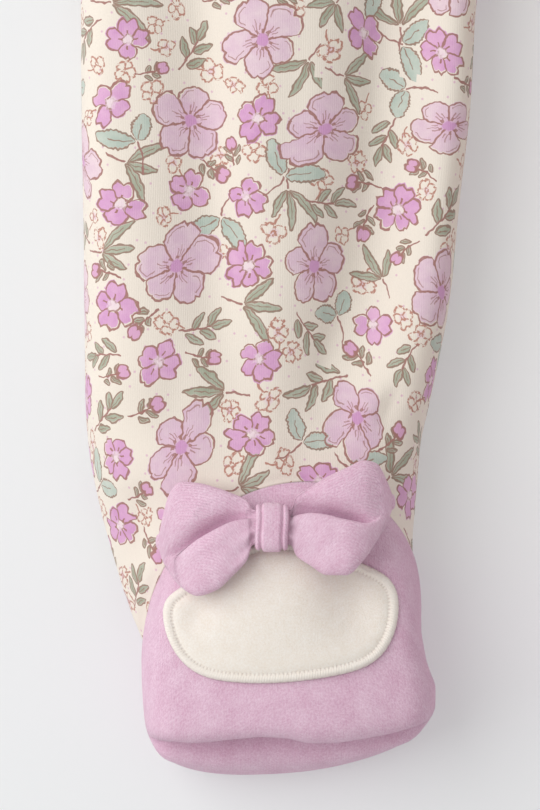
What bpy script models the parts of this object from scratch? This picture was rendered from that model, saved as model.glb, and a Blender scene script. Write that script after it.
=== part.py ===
"""Footed baby sleepsuit laid on its back on a flat surface, as a Blender 4.5 model.

The garment lies in the XY plane with its head end towards +Y, its underside on z = 0 and its front facing
+Z. Left and right are the wearer's. Tables and sizes are in millimetres.

Each cut piece is a wall of cloth made from a grid of surface points. A table gives the rows of one half of
the garment from the shoulder to the toes, and every row runs across that half, from the centre front or the
inner leg out to the side. The rows go down the front, over the toes and back up the underside as one loop,
and the front, the slipper, the sole and the back are stretches of it. A second grid, one cloth thickness
further in, closes each wall.
"""

from collections import namedtuple
import math

import bmesh
import bpy
import numpy as np
from mathutils import Vector
from mathutils.bvhtree import BVHTree

MM = 0.001

# Cloth thicknesses, and the gap kept at every seam.
PRINTED_JERSEY = 1.4
SLIPPER_FLEECE = 1.8
INSTEP_FELT = 1.2
RIB_DOUBLED = 2.2
SEAM_GAP = 0.3
TOE_SEAM_GAP = 0.6

# Places across a row, and the furthest that two rows of the body and leg lie apart.
STATIONS = 13
ROW_SPACING = 17.0

# Neck, shoulder and armhole of one half.
NECK_Y = 297.0
NECK_HALF_WIDTH = 50.0
FRONT_NECK_DEPTH = 38.0
BACK_NECK_DEPTH = 8.0
SHOULDER_TIP = (113.0, 280.0)
UNDERARM = (124.0, 195.0)
ARMHOLE_HOLLOW = 8.0

# Heights of the body's side seam and front, and how far in from a seam the cloth rounds over and under.
BODY_SEAM_Z = 6.0
BODY_TOP_Z = 17.0
ROUND_OVER = 18.0
ROUND_UNDER = 11.0
FOLD_FADE = 14.0

# Sleeve, from the armhole to the wrist, and its cuff.
WRIST_OUTER = (246.0, 132.0)
WRIST_INNER = (199.0, 93.0)
SLEEVE_SHARES = (0.0, 0.08, 0.2, 0.34, 0.5, 0.66, 0.82)
CUFF_LENGTH = 13.0
ARMHOLE_REACH = 0.35

# Neckband, placket and press studs.
NECKBAND_WIDTH = 9.0
NECKBAND_GAP = 0.9
NECKBAND_RISE = 0.10
NECKBAND_SLANT = 0.25
PLACKET_HALF_WIDTH = 9.0
PLACKET_TOP_Y = 266.5
PLACKET_END_Y = -42.0
PLACKET_LIFT = 0.55
PLACKET_ROWS = 30
PLACKET_COLUMNS = 4
STUD_COUNT = 9
STUD_RADIUS = 4.8
STUD_HEIGHT = 1.7
STUD_RIM = 2.2
STUD_DISH = 0.6
STUD_INSET = 12.0
STUD_SIDES = 12

# Bow on each slipper. The cloth under it rises towards the toes, so the bow leans by this share.
BOW_CENTRE = (69.7, -232.9)
BOW_MIDDLE_Z = 49.5
BOW_LEAN = -0.24
CREASE_WIDTH = 2.6
KNOT_HALF_WIDTH = 4.3
KNOT_WALL = 1.5
KNOT_EDGE = 0.8
KNOT_CLEARANCE = 0.4
RING_POINTS = 14
KNOT_POINTS = 12
SQUARENESS = 0.8

Row = namedtuple(
    "Row", "name x_in y_in x_out y_out arch bend lean z_in z_mid z_out z_under round_over round_under"
)
Yoke = namedtuple("Yoke", "name neck_angle armhole z_mid z_under")
Side = namedtuple("Side", "share x_in y_in x_out y_out")
Cap = namedtuple("Cap", "name side_share arch bend lean z_mid round_edge")
Fold = namedtuple("Fold", "name side x0 y0 x1 y1 half_width depth")
Felt = namedtuple("Felt", "x_in y_in x_out y_out arch bend")
Loop = namedtuple("Loop", "along upper lower depth droop crease groove")
Panel = namedtuple("Panel", "name thickness material lift")

# The yoke, from the shoulder seam down to the underarm: where each row leaves the neckline, in degrees
# round it, and where it meets the armhole, from -1 at the shoulder tip to 1 at the underarm.
YOKE = [
    Yoke("shoulder_seam", 0, -1.00, 6.0, 6.0),
    Yoke("shoulder_roll", 4, -0.97, 10.5, 2.6),
    Yoke("shoulder_turn", 10, -0.90, 14.0, 0.6),
    Yoke("shoulder", 22, -0.72, 16.0, 0.0),
    Yoke("upper_chest", 38, -0.44, 16.5, 0.0),
    Yoke("chest", 56, -0.12, 17.0, 0.0),
    Yoke("neck_base", 74, 0.22, 17.0, 0.0),
    Yoke("neck_corner", 90, 0.56, 17.0, 0.0),
]
YOKE_NAMES = {row.name for row in YOKE}

# Body and leg of one half, from the underarm to the ankle seam. The arch lifts the middle of a row.
BODY = [
    Row("underarm", 0, 244, 124, 195, 0, 2, 0, 17, 17, 6, 0, 18, 11),
    Row("rib", 0, 222, 122.5, 176, 0, 2, 0, 16, 17, 6, 0, 18, 11),
    Row("waist", 0, 150, 120, 118, 0, 2, 0, 15, 17, 6, 0, 18, 11),
    Row("belly", 0, 78, 122, 55, 0, 2, 0, 16, 18, 6.5, 0, 20, 11),
    Row("hip", 0, 8, 124, -8, 0, 2, 0, 17, 20, 7.5, 0, 22, 12),
    Row("seat", 0, -32, 123.5, -40, 0, 2, 0, 17.5, 23, 9, 0, 24, 14),
    Row("crotch_roll", 0, -50, 122.8, -54, 0, 2, 0, 15.5, 25, 10, 0, 26, 15),
    Row("crotch", 0.6, -58, 122.4, -61, 0, 2, 0, 9, 26.5, 10.5, 0, 27, 16),
]
LEG = [
    Row("crotch_arch", 6, -63, 122.1, -66, 0, 2, 0, 9, 28, 11, 0, 28, 16),
    Row("thigh_top", 10.8, -75, 121.8, -76, 0, 2, 0, 10, 30.5, 11.5, 0, 28, 16),
    Row("thigh", 14, -91.6, 121.5, -91.6, 0, 2, 0, 11, 33, 12, 0, 29, 17),
    Row("knee", 15.8, -118.6, 121.2, -118.6, 0, 2, 0, 12, 35, 12, 0, 30, 17),
    Row("shin", 18.7, -145.6, 120.9, -145.6, 0, 2, 0, 12, 36, 12, 0, 30, 17),
    Row("calf", 21.4, -172.6, 120.5, -172.6, 1, 2, 0, 12, 36, 12, 0, 30, 17),
    Row("low_calf", 26.7, -199.6, 120.2, -198.6, 5, 2, 0, 12, 36, 12.5, 0, 29, 17),
    Row("ankle", 29.4, -213.0, 119.2, -213.0, 10, 2, 0, 12.5, 36, 13, 0, 28, 17),
    Row("ankle_fold", 30.4, -226.0, 116.6, -228.0, 17, 2, 0, 13, 37, 13.5, 0, 27, 17),
    Row("heel_side", 31.4, -240.0, 112.8, -243.0, 26, 2, 0, 13.5, 37.5, 14, 0, 26, 17),
    Row("heel_point", 31.0, -249.0, 108.6, -256.5, 34, 2, 0, 14, 38, 14, 0, 26, 17),
    Row("slipper_seam", 28.9, -253.6, 104.7, -265.7, 38, 2, 0, 14, 38.5, 14, 0, 26, 17),
]
CENTRE_REACH = 0.5

# The two side edges of the foot, from the corner where leg, slipper and sole meet to the toe seam.
FOOT_SEAM_Z = 14.0
FOOT_SIDES = [
    Side(0.00, 28.9, -253.6, 104.7, -265.7),
    Side(0.30, 29.2, -263.0, 104.9, -271.5),
    Side(0.55, 27.8, -271.0, 104.8, -277.0),
    Side(0.75, 25.4, -277.0, 104.5, -281.5),
    Side(0.90, 25.6, -281.2, 103.9, -285.6),
    Side(1.00, 27.4, -284.0, 102.6, -288.4),
]
SLIPPER = [
    Cap("slipper_seam", 0.00, 38.0, 2.0, 0.00, 38.5, 26),
    Cap("tongue", 0.16, 34.0, 2.0, 0.00, 41.0, 26),
    Cap("instep", 0.34, 25.0, 2.2, 0.02, 44.0, 26),
    Cap("upper", 0.56, 11.0, 2.5, 0.05, 45.5, 26),
    Cap("ball", 0.74, -0.5, 3.0, 0.10, 43.5, 25),
    Cap("toe", 0.88, -5.0, 3.2, 0.14, 37.5, 24),
    Cap("toe_front", 0.96, -6.6, 3.4, 0.16, 30.5, 22),
    Cap("toe_seam", 1.00, -5.8, 3.0, 0.18, 25.0, 20),
]
SOLE = [
    Cap("toe_seam", 1.00, -5.8, 3.0, 0.18, 25.0, 20),
    Cap("toe_lip", 0.97, -12.0, 2.5, 0.16, 22.5, 20),
    Cap("toe_nose", 0.90, -16.4, 2.2, 0.14, 14.5, 20),
    Cap("toe_under", 0.80, -18.2, 2.2, 0.14, 5.5, 20),
    Cap("tread_front", 0.66, -16.5, 2.4, 0.20, 0.8, 20),
    Cap("tread", 0.50, -9.0, 2.2, 0.12, 0.0, 18),
    Cap("tread_middle", 0.34, 6.0, 2.0, 0.00, 0.0, 17),
    Cap("tread_back", 0.16, 24.0, 2.0, 0.00, 0.0, 17),
    Cap("heel_seam", 0.00, 38.0, 2.0, 0.00, 0.0, 17),
]

# The largest folds, as soft troughs with their two ends. Side -1 is the half at -X, 1 the half at +X.
FOLDS = [
    Fold("shin_trough", -1, 56, -60, 53, -160, 11, 5.5),
    Fold("ankle_tuck", -1, 33, -196, 42, -214, 6, 3.0),
    Fold("heel_tuck", -1, 103, -222, 104, -246, 6, 3.5),
    Fold("shin_trough", 1, 60, -74, 55, -150, 12, 5.0),
    Fold("ankle_tuck", 1, 36, -190, 45, -212, 6, 3.0),
    Fold("heel_tuck", 1, 101, -219, 104, -242, 6, 3.0),
    Fold("hip_drag", -1, 18, -46, 84, -8, 12, 3.0),
    Fold("hip_drag", 1, 20, -40, 92, -16, 12, 3.0),
    Fold("waist_crease", -1, 28, 96, 104, 128, 10, 2.6),
    Fold("waist_crease", 1, 30, 112, 102, 92, 10, 2.6),
    Fold("underarm_drag", -1, 62, 236, 112, 190, 9, 2.6),
    Fold("underarm_drag", 1, 58, 226, 110, 188, 9, 2.6),
]
SLEEVE_FOLDS = [
    Fold("elbow_crease", -1, 150, 186, 196, 160, 8, 3.0),
    Fold("elbow_crease", 1, 146, 178, 200, 172, 8, 3.0),
    Fold("cap_drag", -1, 132, 232, 158, 220, 7, 2.4),
    Fold("cap_drag", 1, 128, 240, 160, 226, 7, 2.4),
]

# The felt instep on the slipper, as rows from its upper edge to its toe edge.
INSTEP_ROWS = 9
INSTEP_LIFT = 0.95
INSTEP = [
    Felt(39.2, -246.7, 96.9, -252.6, 13.2, 2.0),
    Felt(38.0, -250.6, 96.8, -255.4, 6.0, 2.0),
    Felt(37.8, -255.0, 96.5, -258.8, 0.0, 2.0),
    Felt(38.2, -259.0, 95.9, -262.0, -4.4, 2.2),
    Felt(39.2, -262.6, 94.9, -265.2, -6.8, 2.5),
    Felt(40.8, -264.9, 93.4, -267.4, -6.5, 2.8),
]

# The bow's sections, from the far end of one loop through the knot to the far end of the other. Along is
# the distance from the knot, upper and lower are the edges, droop lowers a section, and the crease is a
# groove in its front.
LOOPS = [
    Loop(-29.7, -1.9, -6.0, 2.4, 7.0, -4.0, 0.0),
    Loop(-28.7, 2.4, -9.3, 5.6, 6.7, -3.8, 0.4),
    Loop(-26.6, 9.3, -12.6, 7.6, 5.9, -3.2, 1.0),
    Loop(-23.7, 11.8, -16.1, 8.8, 5.0, -2.2, 1.8),
    Loop(-19.4, 11.5, -18.0, 9.6, 3.5, -0.4, 2.6),
    Loop(-14.5, 10.3, -16.5, 9.6, 2.2, 1.4, 3.0),
    Loop(-10.1, 8.7, -12.6, 8.8, 1.3, 2.4, 2.8),
    Loop(-6.4, 7.0, -8.5, 7.6, 0.6, 2.9, 2.0),
    Loop(-4.8, 4.6, -4.6, 6.0, 0.2, 2.6, 0.8),
    Loop(0.0, 4.4, -4.4, 6.0, 0.0, 2.0, 0.0),
    Loop(4.8, 4.6, -4.6, 6.0, 0.1, 2.8, 0.8),
    Loop(6.4, 8.0, -7.8, 7.6, 0.2, 3.2, 2.0),
    Loop(10.1, 10.5, -10.7, 8.8, 0.3, 3.6, 2.8),
    Loop(14.5, 13.2, -13.0, 9.6, 0.4, 3.6, 3.0),
    Loop(19.4, 15.5, -12.4, 9.6, 1.2, 3.0, 2.6),
    Loop(24.2, 17.5, -8.3, 8.8, 3.0, 2.4, 1.6),
    Loop(27.5, 16.7, -2.5, 7.2, 4.4, 3.6, 0.8),
    Loop(30.5, 12.2, 2.3, 5.4, 5.6, 6.0, 0.3),
    Loop(31.6, 9.1, 4.5, 2.4, 6.2, 7.0, 0.0),
]

# The stretches of a half's loop, with the side on which each lies of the seam between front and back.
PANELS = [
    Panel("front", PRINTED_JERSEY, "printed_jersey", 1),
    Panel("slipper", SLIPPER_FLEECE, "slipper_fleece", 1),
    Panel("sole", SLIPPER_FLEECE, "slipper_fleece", -1),
    Panel("back", PRINTED_JERSEY, "printed_jersey", -1),
]

# Colours (linear RGBA) and roughness of the cloths.
CLOTHS = {
    "printed_jersey": ((0.80, 0.72, 0.62, 1.0), 0.92),
    "slipper_fleece": ((0.66, 0.38, 0.55, 1.0), 0.95),
    "instep_felt": ((0.84, 0.77, 0.67, 1.0), 0.95),
    "bow_fleece": ((0.68, 0.40, 0.57, 1.0), 0.95),
    "rib_knit": ((0.66, 0.38, 0.55, 1.0), 0.95),
    "stud_plastic": ((0.70, 0.46, 0.60, 1.0), 0.35),
}


def clear_scene():
    for item in list(bpy.data.objects):
        bpy.data.objects.remove(item, do_unlink=True)


def cloth_material(name):
    colour, roughness = CLOTHS[name]
    material = bpy.data.materials.get(name) or bpy.data.materials.new(name)
    material.use_nodes = True
    shader = material.node_tree.nodes["Principled BSDF"]
    shader.inputs["Base Color"].default_value = colour
    shader.inputs["Roughness"].default_value = roughness
    shader.inputs["Metallic"].default_value = 0.0
    return material


def smooth_through(knots, values, at):
    """A monotone cubic through the knots, so that a table's rows join with no overshoot."""
    knots, values, at = (np.asarray(a, float) for a in (knots, values, at))
    step = np.diff(knots)
    slope = np.diff(values) / step
    tangent = np.zeros(len(values))
    tangent[0], tangent[-1] = slope[0], slope[-1]
    for i in range(1, len(values) - 1):
        if slope[i - 1] * slope[i] > 0:
            w0, w1 = 2 * step[i] + step[i - 1], step[i] + 2 * step[i - 1]
            tangent[i] = (w0 + w1) / (w0 / slope[i - 1] + w1 / slope[i])
    k = np.clip(np.searchsorted(knots, at, side="right") - 1, 0, len(step) - 1)
    t = (at - knots[k]) / step[k]
    return (
        (2 * t**3 - 3 * t**2 + 1) * values[k]
        + (t**3 - 2 * t**2 + t) * step[k] * tangent[k]
        + (-2 * t**3 + 3 * t**2) * values[k + 1]
        + (t**3 - t**2) * step[k] * tangent[k + 1]
    )


def rows_at(kind, rows, at):
    """A table read smoothly at these places, counted in rows. Each new row keeps the name before it."""
    named = "name" in kind._fields
    columns = list(zip(*rows))[named:]
    values = zip(*(smooth_through(range(len(rows)), column, at) for column in columns))
    return [kind(*([rows[int(a)].name] if named else []), *v) for a, v in zip(at, values)]


def refined(rows, most):
    """The rows of a table with more put between them, so that no two lie further apart than this."""
    at = []
    for i, (one, two) in enumerate(zip(rows, rows[1:])):
        gap = max(abs(one.y_in - two.y_in), abs(one.y_out - two.y_out))
        parts = max(1, math.ceil(gap / most))
        at += [i + part / parts for part in range(parts)]
    return rows_at(Row, rows, at + [len(rows) - 1])


def stations():
    """Places across a row from -1 to 1, close together at its ends, where the wall rounds over."""
    return -np.cos(np.linspace(0, math.pi, STATIONS))


def unit(vectors):
    return vectors / np.maximum(np.linalg.norm(vectors, axis=-1, keepdims=True), 1e-9)


def line_direction(points, closed=False):
    """The direction of a line of points at each of them, halfway between the steps before and after."""
    step = unit(np.diff(points, axis=0))
    before, after = (step[-1:], step[:1]) if closed else (step[:1], step[-1:])
    step = np.concatenate([before, step, after])
    return unit(step[:-1] + step[1:])


def round_share(distance, width):
    """How far a wall has risen, from 0 to 1, this far in from its edge: a quarter of an ellipse."""
    inside = 1 - np.clip(distance / width, 0, 1)
    return np.sqrt(np.maximum(0, 1 - inside**2))


def arched(place, arch, bend):
    """The height over a row's chord of a curve that bends like a circle at 2 and like a box above it."""
    return arch * np.maximum(0, 1 - np.abs(place) ** bend) ** (1 / bend)


def neckline(angle, depth, width=0.0, slant=0.0):
    """A point this far inside the neckline, at an angle round it in degrees from the shoulder."""
    c, s = math.cos(math.radians(angle)), math.sin(math.radians(angle))
    return (NECK_HALF_WIDTH - width) * c, NECK_Y + slant * width - (depth - width) * s


def armhole(place):
    """A point of the armhole in plan, from -1 at the shoulder tip to 1 at the underarm."""
    share = (1 + place) / 2
    x = SHOULDER_TIP[0] + (UNDERARM[0] - SHOULDER_TIP[0]) * share
    y = SHOULDER_TIP[1] + (UNDERARM[1] - SHOULDER_TIP[1]) * share
    return x - ARMHOLE_HOLLOW * (1 - place**2), y


def yoke_rows(neck_depth):
    """The rows from the shoulder seam down to the underarm."""
    half_armhole = math.dist(SHOULDER_TIP, UNDERARM) / 2
    rows = []
    for y in YOKE:
        roll = float(round_share((1 - abs(y.armhole)) * half_armhole, ROUND_OVER))
        z_out = min(y.z_mid, BODY_SEAM_Z + (BODY_TOP_Z - BODY_SEAM_Z) * roll)
        ends = (*neckline(y.neck_angle, neck_depth), *armhole(y.armhole))
        heights = (y.z_mid, y.z_mid, z_out, y.z_under)
        rows.append(Row(y.name, *ends, 0, 2, 0, *heights, ROUND_OVER, ROUND_UNDER))
    return rows


def outer_open(row):
    """Whether a row's outer end is a side seam of the garment and not its armhole."""
    return row.name not in YOKE_NAMES


def inner_open(row):
    """Whether a row's inner end is the inner leg and not the centre front or the neckline."""
    return outer_open(row) and row.x_in > CENTRE_REACH


def fold_depth(folds, side, x, y):
    """How far the folds of one half lower its front at each point in plan."""
    total = np.zeros_like(x)
    for fold in folds:
        if fold.side != side:
            continue
        dx, dy = fold.x1 - fold.x0, fold.y1 - fold.y0
        length = math.hypot(dx, dy)
        along = ((x - fold.x0) * dx + (y - fold.y0) * dy) / length**2
        across = ((x - fold.x0) * dy - (y - fold.y0) * dx) / length
        bell = np.exp(-((across / fold.half_width) ** 2))
        total += fold.depth * bell * np.clip(1 - (2 * along - 1) ** 2, 0, 1)
    return total


def row_plan(row):
    """x and y of the points of a row, and their distances in from its two ends."""
    place = stations()
    share = (1 + place) / 2
    x = row.x_in + (row.x_out - row.x_in) * share
    y = row.y_in + (row.y_out - row.y_in) * share
    y = y + arched(place - row.lean * (1 - place**2), row.arch, row.bend)
    width = abs(row.x_out - row.x_in)
    return x, y, width * share, width * (1 - share)


def top_grid(rows, side):
    """Outer points of the front of one half, one line of the grid for each row."""
    grid = []
    for row in rows:
        x, y, from_in, from_out = row_plan(row)
        fall_in = (row.z_mid - row.z_in) * (1 - round_share(from_in, row.round_over))
        fall_out = (row.z_mid - row.z_out) * (1 - round_share(from_out, row.round_over))
        fade = round_share(np.minimum(from_in, from_out), FOLD_FADE)
        z = row.z_mid - fall_in - fall_out - fold_depth(FOLDS, side, x, y) * fade
        grid.append(np.stack([x, y, z], axis=-1))
    return np.array(grid)


def under_grid(rows):
    """Outer points of the back of one half, flat on the surface away from its edges."""
    grid = []
    for row in rows:
        x, y, from_in, from_out = row_plan(row)
        z = np.full_like(x, row.z_under)
        if inner_open(row):
            z += (row.z_in - row.z_under) * (1 - round_share(from_in, row.round_under))
        if outer_open(row):
            z += (row.z_out - row.z_under) * (1 - round_share(from_out, row.round_under))
        grid.append(np.stack([x, y, z], axis=-1))
    return np.array(grid)


def foot_grid(caps):
    """Outer points of the slipper or the sole: each row rises or falls from its side seams to its middle."""
    shares = [side.share for side in FOOT_SIDES]
    grid = []
    for cap in rows_at(Cap, caps, np.arange(2 * len(caps) - 1) / 2):
        columns = list(zip(*FOOT_SIDES))[1:]
        ends = [smooth_through(shares, column, [cap.side_share])[0] for column in columns]
        heights = (FOOT_SEAM_Z, cap.z_mid, FOOT_SEAM_Z, 0)
        row = Row(cap.name, *ends, cap.arch, cap.bend, cap.lean, *heights, cap.round_edge, cap.round_edge)
        x, y, from_in, from_out = row_plan(row)
        z = FOOT_SEAM_Z + (cap.z_mid - FOOT_SEAM_Z) * round_share(np.minimum(from_in, from_out), cap.round_edge)
        grid.append(np.stack([x, y, z], axis=-1))
    return np.array(grid)


def loop_normals(loop, seams):
    """Unit outward normals of a half's loop of rows. For each edge column, seams says at which rows front
    and back meet there, so that the wall stands upright. Elsewhere its rim is cut square to the edge."""
    down = line_direction(loop, closed=True)
    across = np.swapaxes(line_direction(np.swapaxes(loop, 0, 1)), 0, 1)
    normal = unit(np.cross(down, across))
    for column, opposite in ((0, -1), (-1, 0)):
        edge = loop[:, column] * (1, 1, 0)
        along = line_direction(edge, closed=True)
        away = edge - loop[:, opposite] * (1, 1, 0)
        away = unit(away - (away * along).sum(axis=1, keepdims=True) * along)
        leaning = (normal[:, column] * away).sum(axis=1, keepdims=True)
        square = unit(normal[:, column] - leaning * away)
        normal[:, column] = np.where(seams[column][:, None], away, square)
    return normal


def pull_in(grid, last, amount):
    """Moves the first or last row of a panel back into it, along the cloth, to leave the gap of a seam."""
    line, beside = (grid[-1], grid[-2]) if last else (grid[0], grid[1])
    along = line_direction(line)
    inward = beside - line
    leaning = (inward * along).sum(axis=1, keepdims=True) * along
    inward[1:-1] -= leaning[1:-1]
    line += unit(inward) * amount


def wall_object(name, outer, inner, material, mirrored=False, ring=False):
    """A closed wall between an outer and an inner grid of points. A ring's columns go all the way round."""
    rows, columns = outer.shape[:2]
    flip = np.array([-1.0 if mirrored else 1.0, 1.0, 1.0])
    mesh = bmesh.new()
    outside, inside = (
        [[mesh.verts.new(Vector(point * flip) * MM) for point in line] for line in grid]
        for grid in (outer, inner)
    )
    spans = [(j, (j + 1) % columns) for j in range(columns if ring else columns - 1)]
    for i in range(rows - 1):
        for j, k in spans:
            mesh.faces.new((outside[i][j], outside[i][k], outside[i + 1][k], outside[i + 1][j]))
            mesh.faces.new((inside[i][j], inside[i + 1][j], inside[i + 1][k], inside[i][k]))
    for i in (0, rows - 1):
        for j, k in spans:
            mesh.faces.new((outside[i][j], inside[i][j], inside[i][k], outside[i][k]))
    for j in () if ring else (0, columns - 1):
        for i in range(rows - 1):
            mesh.faces.new((outside[i][j], outside[i + 1][j], inside[i + 1][j], inside[i][j]))
    return finish_object(name, mesh, material)


def finish_object(name, mesh, material):
    bmesh.ops.recalc_face_normals(mesh, faces=mesh.faces)
    data = bpy.data.meshes.new(name)
    mesh.to_mesh(data)
    mesh.free()
    data.materials.append(cloth_material(material))
    data.shade_smooth()
    data.set_sharp_from_angle(angle=math.radians(50))
    item = bpy.data.objects.new(name, data)
    bpy.context.scene.collection.objects.link(item)
    return item


def half_panels(side, suffix):
    """Front, slipper, sole and back of one half."""
    below = refined(BODY + LEG, ROW_SPACING)
    front_rows = yoke_rows(FRONT_NECK_DEPTH) + below
    back_rows = yoke_rows(BACK_NECK_DEPTH) + below
    faces = [top_grid(front_rows, side), foot_grid(SLIPPER), foot_grid(SOLE), under_grid(back_rows)[::-1]]
    loop = np.concatenate([faces[0]] + [face[1:] for face in faces[1:]])
    foot = [True] * (len(faces[1]) + len(faces[2]) - 3)
    seams = {}
    for column, is_open in ((0, inner_open), (-1, outer_open)):
        face = [is_open(row) for row in front_rows]
        seams[column] = np.array(face + foot + face[::-1])
    normal = loop_normals(loop, seams)
    made, start = {}, 0
    for panel, face in zip(PANELS, faces):
        rows = slice(start, start + len(face))
        start += len(face) - 1
        outer = loop[rows].copy()
        for column in (0, -1):
            outer[:, column, 2] += panel.lift * SEAM_GAP / 2 * seams[column][rows]
        for last in (False, True):
            at_toe = (panel.name, last) in (("slipper", True), ("sole", False))
            pull_in(outer, last, (TOE_SEAM_GAP if at_toe else SEAM_GAP) / 2)
        inner = outer - panel.thickness * normal[rows]
        for grid in (outer, inner):
            grid[:, 0, 0] = np.maximum(grid[:, 0, 0], SEAM_GAP / 2)
        made[panel.name] = wall_object(f"{panel.name}_{suffix}", outer, inner, panel.material, side < 0)
    return made


def surface_of(items):
    """The faces of several objects, in millimetres, for laying pieces on them."""
    points, faces = [], []
    for item in items:
        start = len(points)
        points += [v.co / MM for v in item.data.vertices]
        faces += [[start + v for v in polygon.vertices] for polygon in item.data.polygons]
    return BVHTree.FromPolygons(points, faces)


def laid_on(surface, x, y, lift):
    """The point this far above the cloth at x and y, square to it."""
    hit, normal, _, _ = surface.ray_cast(Vector((x, y, 200.0)), Vector((0, 0, -1)))
    return np.array(hit + normal * math.copysign(lift, normal.z))


def patch_on(name, surface, plan, lift, thickness, material):
    """A patch laid on other pieces: its plan is a grid of x and y, and it follows what lies under it."""
    under = np.array([[laid_on(surface, x, y, lift) for x, y in line] for line in plan])
    over = np.array([[laid_on(surface, x, y, lift + thickness) for x, y in line] for line in plan])
    return wall_object(name, over, under, material)


def instep_plan(side):
    """The felt instep's plan, as rows of points."""
    place = stations()
    share = (1 + place) / 2
    plan = []
    for row in rows_at(Felt, INSTEP, np.linspace(0, len(INSTEP) - 1, INSTEP_ROWS)):
        x = row.x_in + (row.x_out - row.x_in) * share
        y = row.y_in + (row.y_out - row.y_in) * share + arched(place, row.arch, row.bend)
        plan.append(list(zip(side * x, y)))
    return plan


def placket_plan():
    columns = np.linspace(-PLACKET_HALF_WIDTH, PLACKET_HALF_WIDTH, PLACKET_COLUMNS)
    return [[(x, y) for x in columns] for y in np.linspace(PLACKET_TOP_Y, PLACKET_END_Y, PLACKET_ROWS)]


def stud(name, surface, y):
    """A press stud's dished cap on the placket, turned from its profile."""
    around = np.linspace(0, math.tau, STUD_SIDES, endpoint=False)
    spots = [(0.0, 0.0)] + [(STUD_RADIUS * math.cos(a), STUD_RADIUS * math.sin(a)) for a in around]
    base = max(laid_on(surface, dx, y + dy, 0.0)[2] for dx, dy in spots) + SEAM_GAP
    dish_z = STUD_HEIGHT - STUD_DISH
    profile = [
        (0.0, 0.0),
        (STUD_RADIUS, 0.0),
        (STUD_RADIUS, STUD_HEIGHT / 2),
        (STUD_RADIUS - STUD_DISH, STUD_HEIGHT),
        (STUD_RADIUS - STUD_RIM, STUD_HEIGHT),
        (STUD_RADIUS - STUD_RIM - STUD_DISH, dish_z),
        (0.0, dish_z),
    ]
    mesh = bmesh.new()
    points = [mesh.verts.new(Vector((r, y, base + z)) * MM) for r, z in profile]
    edges = [mesh.edges.new(pair) for pair in zip(points, points[1:])]
    turned = {"cent": Vector((0.0, y, base)) * MM, "axis": (0, 0, 1), "angle": math.tau}
    bmesh.ops.spin(mesh, geom=points + edges, steps=STUD_SIDES, use_merge=True, **turned)
    bmesh.ops.remove_doubles(mesh, verts=mesh.verts, dist=1e-6)
    return finish_object(name, mesh, "stud_plastic")


def sleeve_axis():
    """The sleeve's direction in plan, from the armhole to the wrist."""
    start = np.add(SHOULDER_TIP, UNDERARM)
    return unit(np.append(np.add(WRIST_OUTER, WRIST_INNER) - start, 0.0))


def sleeve_ring(share, shift, side):
    """One closed ring of the sleeve, over its front from the outer edge and then back underneath."""
    top = np.array(SHOULDER_TIP) * (1 - share) + np.array(WRIST_OUTER) * share
    low = np.array(UNDERARM) * (1 - share) + np.array(WRIST_INNER) * share
    turned = min(1, share / ARMHOLE_REACH)
    hollow = ARMHOLE_HOLLOW * (1 - turned) ** 2
    outward = np.array((1.0, 0.0)) * (1 - turned) + sleeve_axis()[:2] * turned
    place = stations()
    half = (1 + place)[:, None] / 2
    plan = top * (1 - half) + low * half + outward * shift
    plan[:, 0] -= hollow * (1 - place**2)
    edge = math.dist(top, low) * (1 - np.abs(place)) / 2
    over = BODY_SEAM_Z + (BODY_TOP_Z - BODY_SEAM_Z) * round_share(edge, ROUND_OVER)
    over -= fold_depth(SLEEVE_FOLDS, side, plan[:, 0], plan[:, 1]) * round_share(edge, FOLD_FADE)
    under = BODY_SEAM_Z * (1 - round_share(edge, ROUND_UNDER))
    lower = np.column_stack([plan, under])[1:-1][::-1]
    return np.concatenate([np.column_stack([plan, over]), lower])


def tube_inside(rings, thickness, first_axis, last_axis):
    """The rings of a tube moved in by its thickness. Its two ends are cut square to their axes."""
    around = unit(np.roll(rings, -1, axis=1) - rings)
    around = unit(around + np.roll(around, 1, axis=1))
    normal = unit(np.cross(around, line_direction(rings)))
    normal *= np.sign((normal * (rings - rings.mean(axis=1, keepdims=True))).sum())
    for end, axis in ((0, first_axis), (-1, last_axis)):
        normal[end] = unit(normal[end] - (normal[end] @ axis)[:, None] * axis)
    return rings - thickness * normal


def sleeve(side, suffix):
    """Sleeve and cuff of one arm, open at the armhole and at the wrist."""
    axis = sleeve_axis()
    cuff_share = 1 - CUFF_LENGTH / math.dist(WRIST_OUTER, SHOULDER_TIP)
    shares = SLEEVE_SHARES + (cuff_share,)
    rings = np.array([sleeve_ring(share, 0.0 if share else SEAM_GAP, side) for share in shares])
    inside = tube_inside(rings, PRINTED_JERSEY, np.array((1.0, 0.0, 0.0)), axis)
    wall_object(f"sleeve_{suffix}", rings, inside, "printed_jersey", side < 0, True)
    rings = np.array([sleeve_ring(cuff_share, SEAM_GAP, 0), sleeve_ring(1.0, 0.0, 0)])
    inside = tube_inside(rings, RIB_DOUBLED, axis, axis)
    wall_object(f"cuff_{suffix}", rings, inside, "rib_knit", side < 0, True)


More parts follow.
